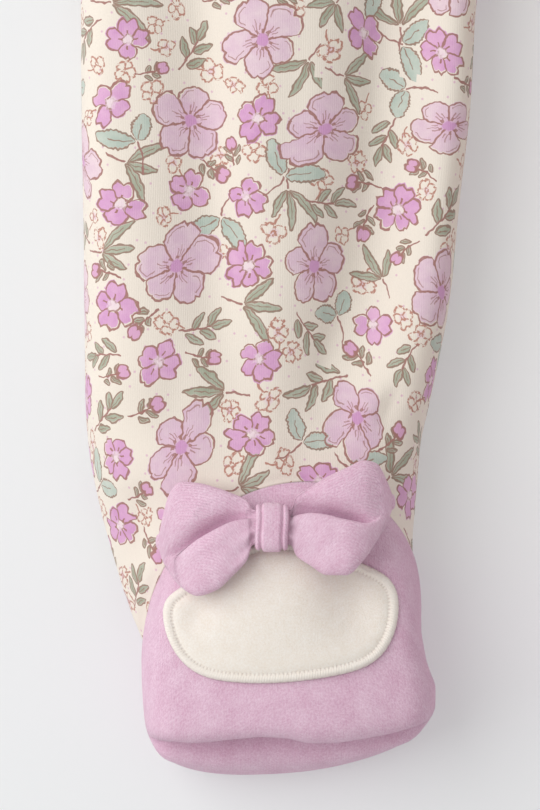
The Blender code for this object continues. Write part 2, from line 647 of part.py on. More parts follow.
def neckband():
    """A doubled rib band round the neck, which turns over the two shoulders with the neckline's rows."""
    there, back_again = YOKE, YOKE[-2:0:-1]
    places = [(FRONT_NECK_DEPTH, y.neck_angle, y.z_mid, NECKBAND_RISE) for y in there]
    places += [(FRONT_NECK_DEPTH, 180 - y.neck_angle, y.z_mid, NECKBAND_RISE) for y in back_again]
    places += [(BACK_NECK_DEPTH, 180 - y.neck_angle, y.z_under, 0.0) for y in there]
    places += [(BACK_NECK_DEPTH, y.neck_angle, y.z_under, 0.0) for y in back_again]
    over = np.array([
        [(*neckline(angle, depth, width, NECKBAND_SLANT), z + rise * width) for depth, angle, z, rise in places]
        for width in (NECKBAND_GAP, NECKBAND_WIDTH / 2, NECKBAND_WIDTH)
    ])
    around = unit(np.roll(over, -1, axis=1) - np.roll(over, 1, axis=1))
    normal = unit(np.cross(around, unit(over[-1] - over[0])))
    normal *= np.sign(normal[0, len(YOKE) - 1, 2])
    return wall_object("neckband", over, over - RIB_DOUBLED * normal, "rib_knit", False, True)


def squared_ring(count, half_across, half_out):
    """Points round a section that is a little squarer than an ellipse."""
    ring = []
    for angle in np.linspace(0, math.tau, count, endpoint=False):
        c, s = math.cos(angle), math.sin(angle)
        ring.append((half_across * math.copysign(abs(c) ** SQUARENESS, c),
                     half_out * math.copysign(abs(s) ** SQUARENESS, s)))
    return ring


def bow_section(loop):
    """One ring of the bow, with the groove in its front."""
    middle, half = (loop.upper + loop.lower) / 2, (loop.upper - loop.lower) / 2
    ring = []
    for across, out in squared_ring(RING_POINTS, half, loop.depth / 2):
        across += middle
        if out > 0:
            groove = loop.groove * math.exp(-(((across - loop.crease) / CREASE_WIDTH) ** 2))
            out -= groove * 2 * out / loop.depth
        ring.append((loop.along, across, out - loop.droop + BOW_LEAN * across))
    return ring


def bow_loops(side, suffix):
    """The two loops of a bow, one folded strip pinched at its middle. The two feet's bows are mirror images."""
    origin = Vector((side * BOW_CENTRE[0], BOW_CENTRE[1], BOW_MIDDLE_Z))
    mesh = bmesh.new()
    lines = []
    for loop in LOOPS:
        ring = bow_section(loop)
        lines.append([mesh.verts.new((origin + Vector((-side * a, v, w))) * MM) for a, v, w in ring])
    for one, two in zip(lines, lines[1:]):
        pairs = ring_pairs(one) + ring_pairs(two)
        edges = [mesh.edges.get(pair) or mesh.edges.new(pair) for pair in pairs]
        bmesh.ops.bridge_loops(mesh, edges=edges)
    for end in (lines[0], lines[-1]):
        mesh.faces.new(end)
    return finish_object(f"bow_loops_{suffix}", mesh, "bow_fleece")


def ring_pairs(line):
    return list(zip(line, line[1:] + line[:1]))


def bow_knot(side, suffix):
    """The band wrapped round the bow's pinched middle."""
    pinch = next(loop for loop in LOOPS if loop.along == 0)
    half_across, half_out = pinch.upper + KNOT_CLEARANCE, pinch.depth / 2 + KNOT_CLEARANCE
    centre = (side * BOW_CENTRE[0], BOW_CENTRE[1], BOW_MIDDLE_Z)
    outer, inner = [], []
    flat = KNOT_HALF_WIDTH - KNOT_EDGE
    for along in (-KNOT_HALF_WIDTH, -flat, 0.0, flat, KNOT_HALF_WIDTH):
        wall = KNOT_WALL if abs(along) < KNOT_HALF_WIDTH else KNOT_WALL - KNOT_EDGE / 2
        for rings, grow in ((outer, wall), (inner, 0.0)):
            ring = squared_ring(KNOT_POINTS, half_across + grow, half_out + grow)
            rings.append([np.add(centre, (along, across, out + BOW_LEAN * across)) for across, out in ring])
    return wall_object(f"bow_knot_{suffix}", np.array(outer), np.array(inner), "bow_fleece", ring=True)


def main():
    clear_scene()
    under_placket = [neckband()]
    for side, suffix in ((-1, "right"), (1, "left")):
        panels = half_panels(side, suffix)
        under_placket.append(panels["front"])
        slipper = surface_of([panels["slipper"]])
        patch_on(f"instep_{suffix}", slipper, instep_plan(side), INSTEP_LIFT, INSTEP_FELT, "instep_felt")
        sleeve(side, suffix)
        bow_loops(side, suffix)
        bow_knot(side, suffix)
    front = surface_of(under_placket)
    placket = patch_on("placket", front, placket_plan(), PLACKET_LIFT, PRINTED_JERSEY, "printed_jersey")
    stud_ys = np.linspace(PLACKET_TOP_Y - STUD_INSET, PLACKET_END_Y + STUD_INSET, STUD_COUNT)
    for number, y in enumerate(stud_ys, start=1):
        stud(f"stud_{number}", surface_of([placket]), y)


main()
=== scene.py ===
# %% [markdown]
# # A footed baby sleepsuit, laid flat
#
# The sleepsuit is sewn from a few cut pieces of cloth, and here each cut piece is one object of its own, as
# it is on the maker's table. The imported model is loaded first. Each piece below then stands in for the solid
# of its own cut piece, in the same place and on the same form but far finer. The tables and sizes of its form
# are in millimetres. What is handed to Blender or to the frame is in metres.

from collections import namedtuple
import math

import bpy
import numpy as np
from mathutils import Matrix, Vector
from mathutils.bvhtree import BVHTree


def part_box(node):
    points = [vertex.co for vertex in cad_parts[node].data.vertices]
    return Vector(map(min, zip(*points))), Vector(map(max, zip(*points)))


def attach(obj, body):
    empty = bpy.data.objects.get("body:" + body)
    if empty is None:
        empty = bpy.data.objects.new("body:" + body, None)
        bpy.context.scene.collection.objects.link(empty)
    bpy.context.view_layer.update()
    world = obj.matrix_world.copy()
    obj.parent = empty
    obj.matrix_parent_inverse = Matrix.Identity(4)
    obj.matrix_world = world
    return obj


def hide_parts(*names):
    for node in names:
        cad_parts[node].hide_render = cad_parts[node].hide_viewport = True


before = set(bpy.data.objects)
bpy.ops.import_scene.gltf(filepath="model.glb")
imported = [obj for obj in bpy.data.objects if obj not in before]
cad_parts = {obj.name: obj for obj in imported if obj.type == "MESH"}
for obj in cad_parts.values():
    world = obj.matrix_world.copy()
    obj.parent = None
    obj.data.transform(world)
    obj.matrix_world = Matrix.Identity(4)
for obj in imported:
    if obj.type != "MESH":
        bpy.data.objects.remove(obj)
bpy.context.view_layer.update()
MM = 0.001
MERGE_WITHIN = 1e-6
WHITE = (1.0, 1.0, 1.0, 1.0)
print("cut pieces and fastenings:", len(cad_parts))

# %% [markdown]
# ## Camera
#
# The garment lies on its back and is seen from straight above, close up on the lower leg and foot. A long
# lens from over a metre away keeps the sides of the foot upright, where a short lens would splay them.

# %% Camera over the right foot
VIEW_CENTRE = (-0.07016, -0.2009)
CAMERA_Z = 1.1
LENS = 178.6

lens = bpy.data.cameras.new("view_from_above")
lens.sensor_width = 36.0
lens.lens = LENS
camera = bpy.data.objects.new("view_from_above", lens)
camera.location = (*VIEW_CENTRE, CAMERA_Z)
bpy.context.scene.collection.objects.link(camera)
bpy.context.scene.camera = camera
print("camera height:", CAMERA_Z, "m")

# %% [markdown]
# ## Shader sums written as plain sums
#
# Most of this garment's looks are worked out: a printed pattern is nothing but distances to petals and
# leaves. Node by node that would be hundreds of lines, so one small class wraps an output socket, and a sum
# written on it adds the Math nodes by itself. A second class adds every other node and feeds its sockets.


# %% A socket that can be reckoned with
class Wire:
    """One output of a node. A sum written with it adds the Math nodes that work the sum out."""

    def __init__(self, paint, socket):
        self.paint = paint
        self.socket = socket

    def maths(self, operation, *others):
        return self.paint.maths(operation, self, *others)

    def __add__(self, other):
        return self.maths("ADD", other)

    __radd__ = __add__

    def __sub__(self, other):
        return self.maths("SUBTRACT", other)

    def __rsub__(self, other):
        return self.paint.maths("SUBTRACT", other, self)

    def __mul__(self, other):
        return self.maths("MULTIPLY", other)

    __rmul__ = __mul__

    def __truediv__(self, other):
        return self.maths("DIVIDE", other)

    def __rtruediv__(self, other):
        return self.paint.maths("DIVIDE", other, self)

    def __abs__(self):
        return self.maths("ABSOLUTE")

    def __lt__(self, other):
        return self.maths("LESS_THAN", other)

    def __gt__(self, other):
        return self.maths("GREATER_THAN", other)


# %% A finish, and the ways in which its nodes are added
def srgb(red, green, blue):
    """A colour as a screen shows it, from 0 to 255, made linear for a shader."""
    shares = (value / 255 for value in (red, green, blue))
    return (*(s / 12.92 if s <= 0.04045 else ((s + 0.055) / 1.055) ** 2.4 for s in shares), 1.0)


class Paint:
    """One material in the making."""

    def __init__(self, name):
        self.material = bpy.data.materials.new(name)
        self.material.use_nodes = True
        self.tree = self.material.node_tree
        self.shader = self.tree.nodes["Principled BSDF"]

    def node(self, kind, settings=None, sockets=None, out=0):
        made = self.tree.nodes.new(kind)
        for key, value in (settings or {}).items():
            setattr(made, key, value)
        for key, value in (sockets or {}).items():
            self.feed(made.inputs[key], value)
        return Wire(self, made.outputs[out])

    def feed(self, socket, value):
        if isinstance(value, Wire):
            self.tree.links.new(value.socket, socket)
        else:
            socket.default_value = value

    def finish(self, **sockets):
        """Feeds the shader's own sockets, each named in lower case with _ for its spaces."""
        for key, value in sockets.items():
            self.feed(self.shader.inputs[key.replace("_", " ").title().replace("Ior", "IOR")], value)
        return self.material

    def maths(self, operation, *values, clamp=False):
        settings = {"operation": operation, "use_clamp": clamp}
        return self.node("ShaderNodeMath", settings, dict(enumerate(values)))

    def mix(self, share, below, above):
        return self.node("ShaderNodeMix", {"data_type": "RGBA"}, {0: share, 6: below, 7: above}, 2)

    def larger(self, one, other):
        return self.maths("MAXIMUM", one, other)

    def kept_between(self, value, low, high):
        return self.maths("MINIMUM", self.larger(value, low), high)

    def radius(self, x, y):
        return self.maths("SQRT", x * x + y * y)

    def ramp(self, value, slope, start):
        """The value on a slope from this start, kept from 0 to 1."""
        return self.maths("MULTIPLY_ADD", value, slope, start, clamp=True)

    def inside(self, distance, width=0.0, soft=0.12):
        """1 where the distance is under the width and 0 beyond it, with a short soft edge."""
        return self.ramp(distance, -1 / soft, width / soft + 0.5)

    def noise(self, place, scale, detail=2.0, roughness=0.5, out="Fac"):
        sockets = {"Vector": place, "Scale": scale, "Detail": detail, "Roughness": roughness}
        return self.node("ShaderNodeTexNoise", {"noise_dimensions": "2D"}, sockets, out)

    def cloud(self, scale, detail=2.0):
        """Noise through the object's own space, for a finish that follows no weave."""
        place = self.node("ShaderNodeTexCoord", {}, {}, "Object")
        return self.node("ShaderNodeTexNoise", {}, {"Vector": place, "Scale": scale, "Detail": detail})

    def chance(self, number):
        """An even chance from 0 to 1, the same wherever the number is the same."""
        return self.node("ShaderNodeTexWhiteNoise", {"noise_dimensions": "1D"}, {"W": number}, "Value")

    def place_in_mm(self):
        """The cloth's own flat measure from its UV map, which is in metres, as millimetres."""
        measure = self.node("ShaderNodeUVMap", {"uv_map": "UVMap"})
        return self.node("ShaderNodeVectorMath", {"operation": "SCALE"}, {0: measure, 3: 1000.0})

    def parts(self, vector):
        """The three parts of a vector, each as a wire of its own."""
        split = self.tree.nodes.new("ShaderNodeSeparateXYZ")
        self.feed(split.inputs[0], vector)
        return [Wire(self, output) for output in split.outputs]

    def note(self, name):
        """The three parts of a note that the cloth keeps at the corners of its faces."""
        return self.parts(self.node("ShaderNodeAttribute", {"attribute_name": name}, {}, "Vector"))

    def bumped(self, height, depth):
        """A bump normal: the height runs from 0 to 1 and stands for this depth in metres."""
        return self.node("ShaderNodeBump", {}, {"Height": height, "Distance": depth, "Strength": 1.0})


print("white is", [round(part, 2) for part in srgb(255, 255, 255)])

# %% [markdown]
# ## The table it lies on, and the light
#
# A pale table and soft light from the upper left: one wide lamp gives the long, soft shadow to the right,
# and an even white world fills it. The wider the lamp, the softer the shadow's edge. The table top also
# glows a little, as a light table does, so that no shadow on it goes dark.

# %% Table, lamp and world
TABLE_SIZE = 6.0
TABLE_DROP = 0.0002
TABLE_GLOW = 0.2
TABLE_GREYS = (srgb(212, 214, 215), srgb(216, 218, 218))
LAMP_AT = (-1.05, 0.4, 1.12)
LAMP_SIZE = 1.8
LAMP_POWER = 18.2
WORLD_LIGHT = 0.54


def table_finish():
    paint = Paint("pale_table")
    colour = paint.mix(paint.cloud(3.0, detail=3.0), *TABLE_GREYS)
    paint.finish(base_color=colour, roughness=0.9, specular_ior_level=0.2)
    return paint.finish(emission_color=WHITE, emission_strength=TABLE_GLOW)


def light_world():
    world = bpy.data.worlds.new("soft_room")
    world.use_nodes = True
    light = world.node_tree.nodes["Background"].inputs
    light["Color"].default_value = WHITE
    light["Strength"].default_value = WORLD_LIGHT
    bpy.context.scene.world = world


def light_lamp():
    lamp = bpy.data.lights.new("wide_lamp", "AREA")
    lamp.shape = "DISK"
    lamp.size = LAMP_SIZE
    lamp.energy = LAMP_POWER
    item = bpy.data.objects.new("wide_lamp", lamp)
    aim = Vector((*VIEW_CENTRE, 0.0))
    item.location = aim + Vector(LAMP_AT)
    item.rotation_euler = (aim - item.location).to_track_quat("-Z", "Y").to_euler()
    bpy.context.scene.collection.objects.link(item)


bpy.ops.object.select_all(action="DESELECT")
bpy.ops.mesh.primitive_plane_add(size=TABLE_SIZE, location=(0.0, 0.0, -TABLE_DROP))
table = bpy.context.object
table.name = "table_top"
bpy.ops.object.transform_apply(location=True)
table.data.materials.append(table_finish())
light_world()
light_lamp()
bpy.context.scene.view_settings.view_transform = "Standard"
print("lamp distance:", round(Vector(LAMP_AT).length, 2), "m")

# %% [markdown]
# ## The form under the cloth
#
# Cloth laid flat keeps a soft, filled-out form. A row is a line across one half of the garment, from the
# centre or the inner leg out to the side. A table of rows runs from the shoulder to the toes, and a smooth
# curve is put through each of its columns, so a few named rows are enough to model the whole half.

# %% Thicknesses, and sizes of the body and sleeve
PRINTED_JERSEY = 1.4
SLIPPER_FLEECE = 1.8
RIB_DOUBLED = 2.2
SEAM_GAP = 0.08
TOE_SEAM_GAP = 0.1
NECK_Y = 297.0
NECK_HALF_WIDTH = 50.0
FRONT_NECK_DEPTH = 38.0
BACK_NECK_DEPTH = 8.0
UNDERARM_ROW_Y = 244.0
SHOULDER_TIP = (113.0, 280.0)
UNDERARM = (124.0, 195.0)
ARMHOLE_HOLLOW = 8.0
BODY_SEAM_Z = 6.0
BODY_TOP_Z = 17.0
ROUND_OVER = 18.0
ROUND_UNDER = 11.0
WRIST_OUTER = (246.0, 132.0)
WRIST_INNER = (199.0, 93.0)
CUFF_LENGTH = 13.0
ARMHOLE_REACH = 0.35
print("chest:", 2 * UNDERARM[0], "mm wide")

# %% Rows from the shoulder to the slipper
Row = namedtuple(
    "Row", "name x_in y_in x_out y_out arch bend lean z_in z_mid z_out z_under round_over round_under"
)
Yoke = namedtuple("Yoke", "name neck_angle armhole z_mid z_under")
YOKE = [
    Yoke("shoulder_seam", 0, -1.00, 6.0, 6.0),
    Yoke("shoulder_roll", 4, -0.97, 10.5, 2.6),
    Yoke("shoulder_turn", 10, -0.90, 14.0, 0.6),
    Yoke("shoulder", 22, -0.72, 16.0, 0.0),
    Yoke("upper_chest", 38, -0.44, 16.5, 0.0),
    Yoke("chest", 56, -0.12, 17.0, 0.0),
    Yoke("neck_base", 74, 0.22, 17.0, 0.0),
    Yoke("neck_corner", 90, 0.56, 17.0, 0.0),
    Yoke("yoke_end", 90, 1.00, 17.0, 0.0),
]
BODY_AND_LEG = [
    Row("underarm", 0, 244, 124, 195, 0, 2, 0, 17, 17, 6, 0, 18, 11),
    Row("rib", 0, 222, 122.5, 176, 0, 2, 0, 16, 17, 6, 0, 18, 11),
    Row("waist", 0, 150, 120, 118, 0, 2, 0, 15, 17, 6, 0, 18, 11),
    Row("belly", 0, 78, 122, 55, 0, 2, 0, 16, 18, 6.5, 0, 20, 11),
    Row("hip", 0, 8, 124, -8, 0, 2, 0, 17, 20, 7.5, 0, 22, 12),
    Row("seat", 0, -32, 123.5, -40, 0, 2, 0, 17.5, 23, 9, 0, 24, 14),
    Row("crotch_roll", 0, -50, 122.8, -54, 0, 2, 0, 15.5, 25, 10, 0, 26, 15),
    Row("crotch", 0.6, -58, 122.4, -61, 0, 2, 0, 9, 26.5, 10.5, 0, 27, 16),
    Row("crotch_arch", 6, -63, 122.1, -66, 0, 2, 0, 9, 28, 11, 0, 28, 16),
    Row("thigh_top", 10.8, -75, 121.8, -76, 0, 2, 0, 10, 30.5, 11.5, 0, 28, 16),
    Row("thigh", 14, -91.6, 121.5, -91.6, 0, 2, 0, 11, 33, 12, 0, 29, 17),
    Row("knee", 15.8, -118.6, 121.2, -118.6, 0, 2, 0, 12, 35, 12, 0, 30, 17),
    Row("shin", 18.7, -145.6, 120.9, -145.6, 0, 2, 0, 12, 36, 12, 0, 30, 17),
    Row("calf", 21.4, -172.6, 120.5, -172.6, 1, 2, 0, 12, 36, 12, 0, 30, 17),
    Row("low_calf", 26.7, -199.6, 120.2, -198.6, 5, 2, 0, 12, 36, 12.5, 0, 29, 17),
    Row("ankle", 29.4, -213.0, 119.2, -213.0, 10, 2, 0, 12.5, 36, 13, 0, 28, 17),
    Row("ankle_fold", 30.4, -226.0, 116.6, -228.0, 17, 2, 0, 13, 37, 13.5, 0, 27, 17),
    Row("heel_side", 31.4, -240.0, 112.8, -243.0, 26, 2, 0, 13.5, 37.5, 14, 0, 26, 17),
    Row("heel_point", 31.0, -249.0, 108.6, -256.5, 34, 2, 0, 14, 38, 14, 0, 26, 17),
    Row("slipper_seam", 28.9, -253.6, 104.7, -265.7, 38, 2, 0, 14, 38.5, 14, 0, 26, 17),
]
print("rows of one half above the foot:", len(YOKE) + len(BODY_AND_LEG))

# %% Rows of the foot
FOOT_SEAM_Z = 14.0
LINES_PER_ROW = 24
Side = namedtuple("Side", "share x_in y_in x_out y_out")
Cap = namedtuple("Cap", "name side_share arch bend lean z_mid round_edge")
FOOT_SIDES = [
    Side(0.00, 28.9, -253.6, 104.7, -265.7),
    Side(0.30, 29.2, -263.0, 104.9, -271.5),
    Side(0.55, 27.8, -271.0, 104.8, -277.0),
    Side(0.75, 25.4, -277.0, 104.5, -281.5),
    Side(0.90, 25.6, -281.2, 103.9, -285.6),
    Side(1.00, 27.4, -284.0, 102.6, -288.4),
]
SLIPPER_ROWS = [
    Cap("slipper_seam", 0.00, 38.0, 2.0, 0.00, 38.5, 26),
    Cap("tongue", 0.16, 34.0, 2.0, 0.00, 41.0, 26),
    Cap("instep", 0.34, 25.0, 2.2, 0.02, 44.0, 26),
    Cap("upper", 0.56, 11.0, 2.5, 0.05, 46.2, 26),
    Cap("ball", 0.74, -0.5, 3.0, 0.10, 46.6, 25),
    Cap("toe", 0.88, -4.3, 3.2, 0.14, 45.8, 24),
    Cap("toe_front", 0.96, -5.5, 3.3, 0.16, 42.0, 22),
    Cap("toe_seam", 1.00, -5.8, 3.0, 0.18, 28.0, 20),
]
SOLE_ROWS = [
    SLIPPER_ROWS[-1],
    Cap("toe_lip", 1.00, -11.2, 2.5, 0.16, 22.5, 20),
    Cap("toe_nose", 0.99, -14.2, 2.3, 0.14, 14.5, 20),
    Cap("toe_under", 0.92, -16.4, 2.3, 0.14, 5.5, 20),
    Cap("tread_front", 0.76, -14.6, 2.4, 0.18, 0.8, 20),
    Cap("tread", 0.54, -8.6, 2.2, 0.12, 0.0, 18),
    Cap("tread_middle", 0.34, 6.0, 2.0, 0.00, 0.0, 17),
    Cap("tread_back", 0.16, 24.0, 2.0, 0.00, 0.0, 17),
    Cap("heel_seam", 0.00, 38.0, 2.0, 0.00, 0.0, 17),
]
print("rows of the foot:", len(SLIPPER_ROWS) + len(SOLE_ROWS))

# %% [markdown]
# ## Folds
#
# A fold is a soft trough or ridge between two points of the plan. It is deepest halfway and fades towards
# both ends and across. The big folds are also in the solids. The smaller ones are only here: no two are
# alike in length, depth or distance, because even folds look pressed in by a machine.

# %% Large folds
Fold = namedtuple("Fold", "side x0 y0 x1 y1 half_width depth")
FOLDS = [
    Fold(-1, 29.5, -20, 44, -200, 15, 11.2),
    Fold(-1, 40, -130, 58, -232, 12, 6.5),
    Fold(-1, 97, -50, 88, -190, 13, 3.8),
    Fold(-1, 91, -50, 80, -228, 8, 3.2),
    Fold(-1, 33, -196, 42, -214, 6, 2.0),
    Fold(-1, 103, -222, 104, -246, 6, 3.5),
    Fold(1, 60, -74, 55, -150, 12, 5.0),
    Fold(1, 36, -190, 45, -212, 6, 3.0),
    Fold(1, 101, -219, 104, -242, 6, 3.0),
    Fold(-1, 18, -46, 84, -8, 12, 3.0),
    Fold(1, 20, -40, 92, -16, 12, 3.0),
    Fold(-1, 28, 96, 104, 128, 10, 2.6),
    Fold(1, 30, 112, 102, 92, 10, 2.6),
    Fold(-1, 62, 236, 112, 190, 9, 2.6),
    Fold(1, 58, 226, 110, 188, 9, 2.6),
]
print("large folds:", len(FOLDS))

# %% Small creases
CREASES = [
    Fold(-1, 39.5, -70, 43.5, -150, 3.4, 1.2),
    Fold(-1, 49.0, -166, 59.0, -202, 2.6, 1.0),
    Fold(-1, 41.5, -207, 34.8, -194, 1.6, 1.5),
    Fold(-1, 29.7, -207, 30.2, -228, 2.4, -0.8),
    Fold(-1, 101.8, -224, 101.2, -256, 3.2, -1.1),
    Fold(-1, 88.0, -84, 84.0, -150, 4.0, 0.8),
    Fold(-1, 112, -96, 106, -148, 6.0, 1.1),
    Fold(-1, 62, -92, 66, -158, 5.0, 0.8),
    Fold(-1, 24, -108, 30, -150, 5.0, 0.5),
    Fold(-1, 66, -196, 61, -226, 5.0, 0.8),
    Fold(-1, 92, -178, 97, -212, 5.0, 0.8),
    Fold(1, 58.5, -78, 56.0, -146, 2.6, 1.3),
    Fold(1, 44.0, -205, 38.0, -191, 1.8, 1.3),
    Fold(1, 84, -96, 80, -158, 8.0, 0.9),
    Fold(1, 104, -110, 110, -160, 6.0, 0.8),
    Fold(1, 30.0, -212, 31, -232, 2.6, -0.8),
    Fold(1, 100.0, -226, 99.6, -254, 3.2, -1.0),
    Fold(-1, 34, -30, 70, -24, 5.0, 1.2),
    Fold(-1, 80, -20, 116, -34, 5.5, 1.1),
    Fold(1, 30, -22, 72, -30, 5.0, 1.2),
    Fold(1, 84, -34, 118, -22, 5.5, 1.0),
    Fold(-1, 18, 60, 66, 44, 6.0, 1.1),
    Fold(1, 24, 40, 70, 58, 6.0, 1.1),
    Fold(-1, 70, 74, 114, 92, 5.0, 1.0),
    Fold(1, 66, 66, 112, 54, 5.0, 1.0),
    Fold(-1, 22, 150, 84, 168, 6.0, 1.1),
    Fold(1, 26, 172, 88, 150, 6.0, 1.2),
    Fold(-1, 56, 262, 92, 240, 5.0, 0.9),
    Fold(1, 60, 266, 96, 248, 5.0, 0.9),
]
print("small creases:", len(CREASES))


# %% Smooth curves through a table's rows
FOLD_FADE = 14.0
CREASE_FADE = 5.0


def unit(vectors):
    return vectors / np.maximum(np.linalg.norm(vectors, axis=-1, keepdims=True), 1e-9)


def smooth_through(knots, values, at):
    """A monotone cubic through the knots, so that a table's rows join with no overshoot."""
    knots, values, at = (np.asarray(a, float) for a in (knots, values, at))
    step = np.diff(knots)
    slope = np.diff(values) / step
    tangent = np.zeros(len(values))
    tangent[0], tangent[-1] = slope[0], slope[-1]
    for i in range(1, len(values) - 1):
        if slope[i - 1] * slope[i] > 0:
            w0, w1 = 2 * step[i] + step[i - 1], step[i] + 2 * step[i - 1]
            tangent[i] = (w0 + w1) / (w0 / slope[i - 1] + w1 / slope[i])
    k = np.clip(np.searchsorted(knots, at, side="right") - 1, 0, len(step) - 1)
    t = (at - knots[k]) / step[k]
    return (
        (2 * t**3 - 3 * t**2 + 1) * values[k]
        + (t**3 - 2 * t**2 + t) * step[k] * tangent[k]
        + (-2 * t**3 + 3 * t**2) * values[k + 1]
        + (t**3 - t**2) * step[k] * tangent[k + 1]
    )


def rows_at(kind, rows, at):
    """A table read smoothly at these places, counted in rows. Each new row keeps the name before it."""
    named = "name" in kind._fields
    columns = list(zip(*rows))[named:]
    values = zip(*(smooth_through(range(len(rows)), column, at) for column in columns))
    return [kind(*([rows[int(a)].name] if named else []), *v) for a, v in zip(at, values)]


def refined(rows, most):
    """The rows of a table with more put between them, so that no two lie further apart than this."""
    at = []
    for i, (one, two) in enumerate(zip(rows, rows[1:])):
        gap = max(abs(one.y_in - two.y_in), abs(one.y_out - two.y_out))
        parts = max(1, math.ceil(gap / most))
        at += [i + part / parts for part in range(parts)]
    return rows_at(Row, rows, at + [len(rows) - 1])


def round_share(distance, width):
    """How far a wall has risen, from 0 to 1, this far in from its edge: a quarter of an ellipse."""
    inside = 1 - np.clip(distance / width, 0, 1)
    return np.sqrt(np.maximum(0, 1 - inside**2))


def square_share(distance, width):
    """The same for a wall that turns over sharply, as the folded edge of an empty leg does."""
    inside = 1 - np.clip(distance / width, 0, 1)
    return np.cbrt(1 - inside**3)


def arched(place, arch, bend):
    """The height over a row's chord of a curve that bends like a circle at 2 and like a box above it."""
    return arch * np.maximum(0, 1 - np.abs(place) ** bend) ** (1 / bend)


def bell(distance, width):
    """1 at no distance, and fading over this width as a bell's outline does."""
    return np.exp(-((distance / width) ** 2))


def fold_depth(folds, side, x, y):
    """How far the folds of one half lower its front at each point in plan."""
    total = np.zeros_like(x)
    for fold in folds:
        if fold.side != side:
            continue
        dx, dy = fold.x1 - fold.x0, fold.y1 - fold.y0
        length = math.hypot(dx, dy)
        along = ((x - fold.x0) * dx + (y - fold.y0) * dy) / length**2
        across = ((x - fold.x0) * dy - (y - fold.y0) * dx) / length
        total += fold.depth * bell(across, fold.half_width) * np.clip(1 - (2 * along - 1) ** 2, 0, 1)
    return total


def folded_in(folds, creases, side, x, y, edge):
    """How far the large folds and the small creases lower a front. Both fade towards its edge."""
    large = fold_depth(folds, side, x, y) * round_share(edge, FOLD_FADE)
    return large, fold_depth(creases, side, x, y) * np.minimum(1, edge / CREASE_FADE)


print("halfway up a round edge:", round(float(round_share(0.134, 1.0)), 2))

# %% Rows of the yoke, body and leg as lines of points
LINE_STATIONS = 201
LINE_SPACING = 1.0
YOKE_SPACING = 0.08
CENTRE_REACH = 0.5
SLACK_LEG = [(-236, 0.0), (-200, 1.0), (-84, 1.0), (-40, 0.0)]
SLACK_ROUND = 0.8


def neckline(angle, depth, width=0.0, slant=0.0):
    """A point this far inside the neckline, at an angle round it in degrees from the shoulder."""
    c, s = math.cos(math.radians(angle)), math.sin(math.radians(angle))
    return (NECK_HALF_WIDTH - width) * c, NECK_Y + slant * width - (depth - width) * s


def armhole(place):
    """A point of the armhole in plan, from -1 at the shoulder tip to 1 at the underarm."""
    share = (1 + place) / 2
    x = SHOULDER_TIP[0] + (UNDERARM[0] - SHOULDER_TIP[0]) * share
    y = SHOULDER_TIP[1] + (UNDERARM[1] - SHOULDER_TIP[1]) * share
    return x - ARMHOLE_HOLLOW * (1 - place**2), y


def yoke_rows(neck_depth):
    """The rows from the shoulder seam to the underarm. Past the neck's corner they leave the centre line."""
    half_armhole = math.dist(SHOULDER_TIP, UNDERARM) / 2
    corner = len(YOKE) - 2
    rows = []
    places = np.arange(0, len(YOKE) - 1, YOKE_SPACING)
    for place, y in zip(places, rows_at(Yoke, YOKE, places)):
        roll = float(round_share((1 - abs(y.armhole)) * half_armhole, ROUND_OVER))
        z_out = min(y.z_mid, BODY_SEAM_Z + (BODY_TOP_Z - BODY_SEAM_Z) * roll)
        past = max(0.0, place - corner)
        depth = neck_depth + past * (NECK_Y - UNDERARM_ROW_Y - neck_depth)
        ends = (*neckline(y.neck_angle, depth), *armhole(y.armhole))
        heights = (y.z_mid, y.z_mid, z_out, y.z_under)
        rows.append(Row("yoke", *ends, 0, 2, 0, *heights, ROUND_OVER, ROUND_UNDER))
    return rows


def row_plan(row):
    """x and y of the points of a row, and their distances in from its two ends."""
    place = -np.cos(np.linspace(0, math.pi, LINE_STATIONS))
    share = (1 + place) / 2
    x = row.x_in + (row.x_out - row.x_in) * share
    y = row.y_in + (row.y_out - row.y_in) * share
    y = y + arched(place - row.lean * (1 - place**2), row.arch, row.bend)
    width = abs(row.x_out - row.x_in)
    return x, y, width * share, width * (1 - share)


def front_rise(distance, row):
    """How far the front has risen this far in from its edge. An empty leg turns over more sharply."""
    slack = np.interp(row.y_in, *zip(*SLACK_LEG))
    filled = round_share(distance, row.round_over)
    return filled * (1 - slack) + square_share(distance, row.round_over * SLACK_ROUND) * slack


def front_lines(side):
    """Lines of points over the front of one half, from the shoulder down to the slipper's seam."""
    lines = []
    for row in yoke_rows(FRONT_NECK_DEPTH) + refined(BODY_AND_LEG, LINE_SPACING):
        x, y, from_in, from_out = row_plan(row)
        fall_in = (row.z_mid - row.z_in) * (1 - front_rise(from_in, row))
        fall_out = (row.z_mid - row.z_out) * (1 - front_rise(from_out, row))
        large, small = folded_in(FOLDS, CREASES, side, x, y, np.minimum(from_in, from_out))
        lines.append(np.stack([x, y, row.z_mid - fall_in - fall_out - large - small], axis=-1))
    return np.array(lines)


def back_lines():
    """Lines of points over the back of one half, flat on the table away from its edges."""
    lines = []
    for row in yoke_rows(BACK_NECK_DEPTH) + refined(BODY_AND_LEG, LINE_SPACING):
        x, y, from_in, from_out = row_plan(row)
        below_yoke = row.name != "yoke"
        inner_leg = below_yoke * min(1.0, row.x_in / CENTRE_REACH)
        rise_in = inner_leg * (row.z_in - row.z_under) * (1 - round_share(from_in, row.round_under))
        rise_out = below_yoke * (row.z_out - row.z_under) * (1 - round_share(from_out, row.round_under))
        lines.append(np.stack([x, y, row.z_under + rise_in + rise_out], axis=-1))
    return np.array(lines)


FRONT = {side: front_lines(side) for side in (-1, 1)}
BACK = back_lines()
print("points over one front:", FRONT[1].shape[0] * FRONT[1].shape[1])

